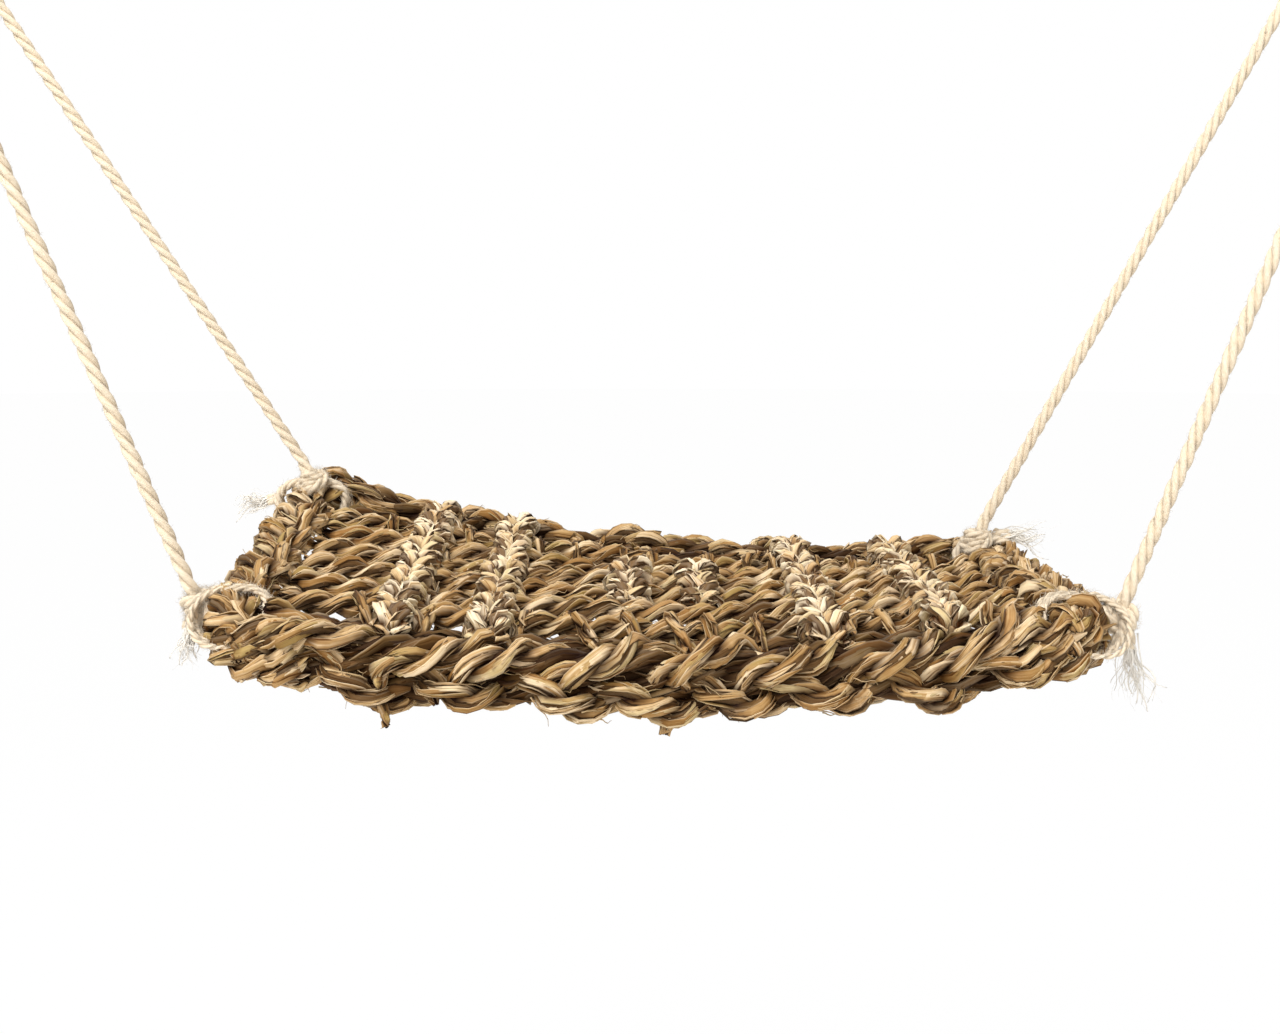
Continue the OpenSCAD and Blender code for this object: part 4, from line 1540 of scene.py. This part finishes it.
@dataclass
class Rigging:
    """The cotton slings, tails, knots, cords and loops of the four corners.

    Attributes:
        plan: sizes and places.
        cotton: material of the cords.
        cord: how the cord is twisted.
        wrapping: the cord of a knot's turns.
        thin: the cord of a far sling.
        yarn: the cord of a near sling.
        cord_hairs: loose hairs on a hanging cord.
        loop_hairs: loose hairs on a hanging loop.
        sling_hairs: loose hairs on each ring of a sling.
        foot_hairs: loose hairs on each cord of a foot knot, in the order of Corner.
        frays: yarns, threads and fibres of a tail, each with its number, its radius in mm, its
            spread as a share of the length, its wave in mm and its tone.
    """

    plan: MatPlan
    cotton: bpy.types.Material
    cord: CottonStyle = CottonStyle()
    wrapping: CottonStyle = CottonStyle(diameter=3.9 * MM, lay=14 * MM)
    thin: CottonStyle = CottonStyle(diameter=3.2 * MM, lay=12 * MM, around=18)
    yarn: CottonStyle = CottonStyle(diameter=1.9 * MM, strands=2, lay=8 * MM, around=12)
    cord_hairs: int = 600
    loop_hairs: int = 120
    sling_hairs: int = 190
    foot_hairs: tuple[int, int, int, int] = (700, 360, 320, 320)
    frays: tuple[tuple[int, float, float, float, float], ...] = (
        (11, 0.62, 0.17, 3.0, 1.0),
        (16, 0.3, 0.17, 2.6, 0.9),
        (30, 0.1, 0.2, 2.0, 0.8),
    )

    def build(self) -> None:
        """Make every cotton piece, corner by corner."""
        for corner in Corner:
            rng = Seed.CORNER.source(corner.order)
            foot_knot = self.foot_knot(corner, rng)
            top_knot = self.top_knot(corner, rng)
            loop = self.loop(corner, rng)
            self.hang_cord(corner, rng)
            self.sling(corner, rng)
            self.tail(corner, rng)

    def dress(self, name: str, node: str, shells: Iterable[Shell]) -> bpy.types.Object:
        """Make a cotton piece from its shells."""
        return piece(name, Shell.joined(shells), self.cotton, [node])

    def hang_cord(self, corner: Corner, rng: np.random.Generator) -> None:
        """The taut cord: a straight line from foot to top, drawn a little further into both knots."""
        foot, top = self.plan.foot(corner), self.plan.cord_top(corner)
        route = Route(straight(foot, top, 260), Y_AXIS)
        sunk = self.plan.leaning(corner) * self.plan.joint_room
        drawn = Route(straight(foot - sunk * 1.3, top + sunk * 0.8, 260), Y_AXIS)
        shells = [
            cotton_rope(drawn, self.cord, rng, taper=1.5 * MM),
            fuzz(route, self.plan.cord_r, self.cord_hairs, 1.0 * MM, rng),
        ]
        made = self.dress(f"{corner.label}_twisted_cord", f"{corner.label}_hang_cord", shells)
        stops = np.linspace(0.0, 1.0, 20)[:, None]
        [tuple(p) for p in foot * (1 - stops) + top * stops]

    def wound(
        self, base: np.ndarray, along: np.ndarray, wraps: int, rng: np.random.Generator, hairs: int = 160
    ) -> list[Shell]:
        """Turns of cord wound round a line, with one slanted turn over them.

        The turns are a helix that rises one wrap in each round. The slanted turn is a circle
        whose height swings once up and down.

        Args:
            base: the lower end of the line.
            along: the line's unit direction.
            wraps: number of turns.
            rng: the seeded source of the unevenness.
            hairs: loose hairs on each of the two.

        Returns:
            Both cords and their hairs.
        """
        plan = self.plan
        side, up = Y_AXIS, np.cross(Y_AXIS, along)
        t = np.linspace(0.0, wraps + 0.35, 60 * wraps)[:, None]
        rise = plan.cord_r + np.clip(t, 0, wraps - 0.4) * plan.wrap_rise * 0.86
        reach = plan.knot_core * (1 + 0.05 * np.sin(3.1 * t))
        coil = base + rise * along + reach * (np.cos(TAU * t) * side + np.sin(TAU * t) * up)
        turn = np.linspace(0.0, TAU, 50)[:, None]
        height = plan.knot_height(wraps) * (0.5 + 0.42 * np.cos(turn))
        wide = plan.knot_core * (1.25 + 0.25 * np.sin(turn) ** 2)
        over = base + height * along + wide * (np.cos(turn + 0.6) * side + np.sin(turn + 0.6) * up)
        shells = []
        for line in (coil, over):
            route = Route(line, along)
            shells.append(cotton_rope(route, self.wrapping, rng, taper=2 * MM))
            shells.append(fuzz(route, plan.cord_r, hairs, 1.8 * MM, rng))
        return shells

    def foot_knot(self, corner: Corner, rng: np.random.Generator) -> bpy.types.Object:
        """The knot at a cord's foot.

        The cord runs on into it in its own direction. A far knot's turns stand upright before its
        sling, a near left one's follow the cord, and a near right one's lie along the mat.
        """
        plan = self.plan
        wraps = plan.foot_wraps[corner.order]
        along = plan.leaning(corner)
        half = plan.knot_height(wraps) / 2
        middle = plan.foot(corner) - along * (half + plan.joint_room)
        way = {Corner.NEAR_LEFT: along, Corner.NEAR_RIGHT: X_AXIS}.get(corner, Z_AXIS)
        hairs = self.foot_hairs[corner.order]
        if not corner.is_near:
            middle = middle - along * 5 * MM - Y_AXIS * 5 * MM
        heart = Route(straight(plan.foot(corner), middle - along * half, 24), Y_AXIS)
        shells = self.wound(middle - way * half, way, wraps, rng, hairs)
        shells.append(cotton_rope(heart, self.cord, rng, taper=1 * MM))
        shells.append(fuzz(heart, plan.cord_r, hairs // 2, 1.5 * MM, rng))
        return self.dress(f"{corner.label}_wound_foot", f"{corner.label}_foot_knot", shells)

    def top_knot(self, corner: Corner, rng: np.random.Generator) -> bpy.types.Object:
        """The knot at the top of a cord: turns in line with the cord.

        Its heart starts at the pivot, so that the cord stays joined to it at every angle.
        """
        plan = self.plan
        along = plan.leaning(corner)
        pivot = plan.cord_top(corner)
        shells = self.wound(pivot + along * plan.joint_room, along, plan.top_wraps, rng)
        inside = pivot + along * (plan.joint_room + plan.knot_height(plan.top_wraps) / 2)
        heart = Route(straight(pivot, inside, 24), Y_AXIS)
        own_rng = Seed.TOP_HEART.source(corner.order)
        shells.append(cotton_rope(heart, self.cord, own_rng, taper=1 * MM))
        return self.dress(f"{corner.label}_wound_top", f"{corner.label}_top_knot", shells)

    def loop(self, corner: Corner, rng: np.random.Generator) -> bpy.types.Object:
        """The hanging loop: two straight legs from the knot, tangent to a round arch."""
        plan = self.plan
        along = plan.leaning(corner)
        base = plan.cord_top(corner) + along * (plan.joint_room + plan.knot_height(plan.top_wraps) - 2 * MM)
        across = np.cross(Y_AXIS, along)
        half = math.asin(plan.loop_r / plan.loop_rise)
        leg = plan.loop_rise * math.cos(half)
        t = np.linspace(0.0, 1.0, 40)[1:, None]
        angle = np.linspace(-half, math.pi + half, 90)[:, None]
        arch = plan.loop_rise * along + plan.loop_r * (np.cos(angle) * across + np.sin(angle) * along)
        first = t * leg * (math.cos(half) * along + math.sin(half) * across)
        last = t[::-1] * leg * (math.cos(half) * along - math.sin(half) * across)
        route = Route(base + np.concatenate([first, arch[1:-1], last]), Y_AXIS)
        shells = [
            cotton_rope(route, self.cord, rng, taper=1.5 * MM),
            fuzz(route, plan.cord_r, self.loop_hairs, 1.6 * MM, rng),
        ]
        return self.dress(f"{corner.label}_twisted_loop", f"{corner.label}_loop", shells)

    def sling(self, corner: Corner, rng: np.random.Generator) -> None:
        """The sling round the end plait: rings with two straight runs and two half circles.

        A near sling is a flat band of thin yarns that lies close over the plait, and whose lower
        runs drift to the near side by a share of their depth. A far one is two small cords.
        """
        plan = self.plan
        inner, outer = plan.sling_half, plan.sling_outer(corner)
        angle = np.linspace(-math.pi / 2, math.pi / 2, 40)
        right = np.stack([outer + plan.sling_r * np.cos(angle), plan.sling_r * np.sin(angle)], axis=1)
        left = np.stack([-inner - plan.sling_r * np.cos(angle), -plan.sling_r * np.sin(angle)], axis=1)
        over = straight(right[-1], left[0], 12)[1:-1]
        under = straight(left[-1], right[0], 12)[1:-1]
        ring = np.concatenate([right, over, left, under, right[:1]])
        shifts = np.linspace(-4.6, 4.6, 7) * MM if corner.is_near else np.array([-1.7, 1.7]) * MM
        style, slide = (self.yarn, 0.7) if corner.is_near else (self.thin, 0.0)
        shells = []
        for shift in shifts:
            tilt = rng.uniform(-0.12, 0.12)
            swell = np.where(ring[:, 1] > 0, rng.uniform(0.72, 0.86) if corner.is_near else 0.8, 1.0)
            fall = (plan.sling_r - ring[:, 1]) * (slide + rng.uniform(-0.1, 0.1) * (slide > 0))
            across = shift * (0.35 + 0.65 * smooth_step(fall / (6 * MM))) if corner.is_near else shift
            aside = across + tilt * ring[:, 0] - fall
            line = np.stack([corner.side_x * ring[:, 0], aside, swell * ring[:, 1]], axis=1)
            route = Route(plan.sling_middle(corner) + line, Y_AXIS, closed=True)
            shells.append(cotton_rope(route, style, rng))
            shells.append(fuzz(route, style.diameter / 2, self.sling_hairs, 2.2 * MM, rng))
        self.dress(f"{corner.label}_wound_sling", f"{corner.label}_sling", shells)

    def tail(self, corner: Corner, rng: np.random.Generator) -> None:
        """A frayed tail: a short stretch of cord that opens into wavy yarns and fine fibres."""
        plan = self.plan
        side, length = corner.side_x, plan.tail_length[corner.order]
        if corner.is_near:
            fall = plan.knot_height(plan.foot_wraps[corner.order]) / 2 + plan.seat_gap
            start = plan.knot_place(corner) + np.array([side * 1 * MM, 0.0, 1 * MM - fall])
            way = unit(np.array([0.15 * side, -0.1, -1.0]))
        elif corner is Corner.FAR_RIGHT:
            beside = plan.knot_out[corner.order] + plan.knot_core + plan.cord_r + 2 * plan.seat_gap
            start = plan.sling_middle(corner) + np.array([beside, plan.cord_d + plan.seat_gap, plan.sling_r])
            way = unit(np.array([1.0, 0.05, -0.08]))
        else:
            beside = plan.sling_outer(corner) + plan.sling_r + plan.cord_r + plan.seat_gap
            start = plan.sling_middle(corner) - np.array([beside, 0.0, 0.0])
            way = unit(np.array([-1.0, -0.1, -0.15]))
        reference = X_AXIS if corner.is_near else Y_AXIS
        share = np.linspace(0.0, 1.0, 30)[:, None]
        stub = Route(start - way * 2.5 * MM + way * share * 0.45 * length, reference)
        shells = [cotton_rope(stub, self.cord, rng, taper=1.5 * MM)]
        for count, size, wide, wave, tone in self.frays:
            roots = start + rng.normal(0, 1.0 * MM, (count, 3))
            reach = length * rng.uniform(0.7, 1.1, (count, 1))
            tips = start + way * reach + rng.normal(0, wide, (count, 3)) * reach
            shells.append(
                fibres(roots, tips, size * MM, wave * MM, 0.8 * MM, rng, rings=12, sides=5, tone=tone)
            )
        self.dress(f"{corner.label}_frayed_tail", f"{corner.label}_tail", shells)


# ---------------------------------------------------------------- the studio


@dataclass
class Studio:
    """A pale floor, soft lamps, a white surround and the camera.

    Attributes:
        lens: focal length in millimetres.
        sensor: width of the sensor in millimetres.
        eye: where the camera stands.
        pitch: the camera's turn about X in degrees, where 90 looks level.
        floor_z: height of the floor.
        floor_r: radius of the floor.
        surround: strength of the world's light.
        aim: where the lamps point.
    """

    lens: float = 37.1
    sensor: float = 36.0
    eye: tuple[float, float, float] = (-0.005, -0.5086, -0.2037)
    pitch: float = 82.54
    floor_z: float = -0.62
    floor_r: float = 12.0
    surround: float = 0.4
    aim: tuple[float, float, float] = (0.0, 0.0, -0.3)

    def camera(self) -> None:
        """Make the camera and set it as the scene's own."""
        data = bpy.data.cameras.new("view_camera")
        data.lens, data.sensor_width = self.lens, self.sensor
        data.clip_start, data.clip_end = 0.01, 50.0
        made = bpy.data.objects.new("view_camera", data)
        made.location = self.eye
        made.rotation_euler = (math.radians(self.pitch), 0.0, 0.0)
        bpy.context.scene.collection.objects.link(made)
        bpy.context.scene.camera = made

    def lamp(self, name: str, place: Sequence[float], size: float, power: float) -> None:
        """A square soft lamp at a place, turned to the aim."""
        data = bpy.data.lights.new(name, "AREA")
        data.shape, data.size, data.energy = "SQUARE", size, power
        made = bpy.data.objects.new(name, data)
        made.location = place
        made.rotation_euler = (Vector(self.aim) - Vector(place)).to_track_quat("-Z", "Y").to_euler()
        bpy.context.scene.collection.objects.link(made)

    def white_to_camera(
        self, recipe: Recipe, plain: bpy.types.Node, glow: str, output: str, share: float = 1.0
    ) -> None:
        """Show plain white to camera, glossy and transmitted rays, and the plain shader to the rest.

        The share of white is the sum of the three ray flags, held at 1, times the given share.

        Args:
            recipe: the node tree.
            plain: the shader for all other rays.
            glow: type of the node that gives the white.
            output: type of the output node.
            share: how much of the white is shown.
        """
        rays = recipe.node("LightPath").outputs
        total = rays["Is Camera Ray"]
        for other in ("Is Glossy Ray", "Is Transmission Ray"):
            adding = {"operation": "ADD", "use_clamp": True}
            total = recipe.node("Math", adding, {0: total, 1: rays[other]}).outputs[0]
        shown = recipe.node("Math", {"operation": "MULTIPLY"}, {0: total, 1: share}).outputs[0]
        white = recipe.node(glow, {}, {"Color": WHITE, "Strength": 1.0}).outputs[0]
        mixed = recipe.node("MixShader", {}, {0: shown, 1: plain.outputs[0], 2: white}).outputs[0]
        recipe.node(output, {}, {"Surface": mixed})

    def world(self) -> None:
        """A surround that is plain white to the eye and slightly warm as a light."""
        made = bpy.data.worlds.new("surround")
        bpy.context.scene.world = made
        recipe = Recipe(made)
        light = {"Color": (1.0, 0.95, 0.88, 1.0), "Strength": self.surround}
        self.white_to_camera(recipe, recipe.node("Background", {}, light), "Background", "OutputWorld")

    def floor(self) -> None:
        """A round pale floor far below the mat."""
        turn = np.linspace(0, TAU, 97)[:-1]
        height = np.full_like(turn, self.floor_z)
        ring = np.stack([self.floor_r * np.cos(turn), self.floor_r * np.sin(turn), height], axis=1)
        mesh = bpy.data.meshes.new("floor")
        mesh.from_pydata(ring.tolist(), [], [list(range(len(ring)))])
        made = bpy.data.objects.new("floor", mesh)
        bpy.context.scene.collection.objects.link(made)
        recipe = Recipe(bpy.data.materials.new("pale_floor"))
        plain = recipe.node("BsdfDiffuse", {}, {"Color": (0.96, 0.96, 0.96, 1.0)})
        self.white_to_camera(recipe, plain, "Emission", "OutputMaterial", share=0.985)
        mesh.materials.append(recipe.owner)

    def lights(self) -> None:
        """A large key lamp above the near side and two weak fills."""
        self.lamp("key_lamp", (-0.45, -0.75, 1.05), 0.7, 27.0)
        self.lamp("fill_lamp", (-0.1, -1.1, 0.05), 1.0, 5.0)
        self.lamp("back_lamp", (0.3, 1.1, 0.7), 1.0, 7.0)


PALE_SEAGRASS = LeafFinish(
    "pale_seagrass",
    dull=rgb(188, 156, 110),
    usual=rgb(224, 198, 154),
    light=rgb(246, 230, 200),
    rust=rgb(196, 144, 84),
    green=rgb(200, 180, 128),
    vein=rgb(132, 92, 48),
    hollow=rgb(66, 36, 12),
    rust_share=0.35,
)


def main() -> None:
    """Build the camera, the cords, the mat and the studio."""
    studio = Studio()
    studio.camera()
    bpy.context.scene.view_settings.view_transform = "Standard"
    plan = MatPlan()
    Rigging(plan, CottonFinish("natural_cotton").material()).build()
    leaf = LeafFinish("dried_seagrass").material()
    Weaver(plan, leaf, PALE_SEAGRASS.material()).build()
    studio.world()
    studio.floor()
    studio.lights()
    log.info("done")


if __name__ == "__main__":
    main()
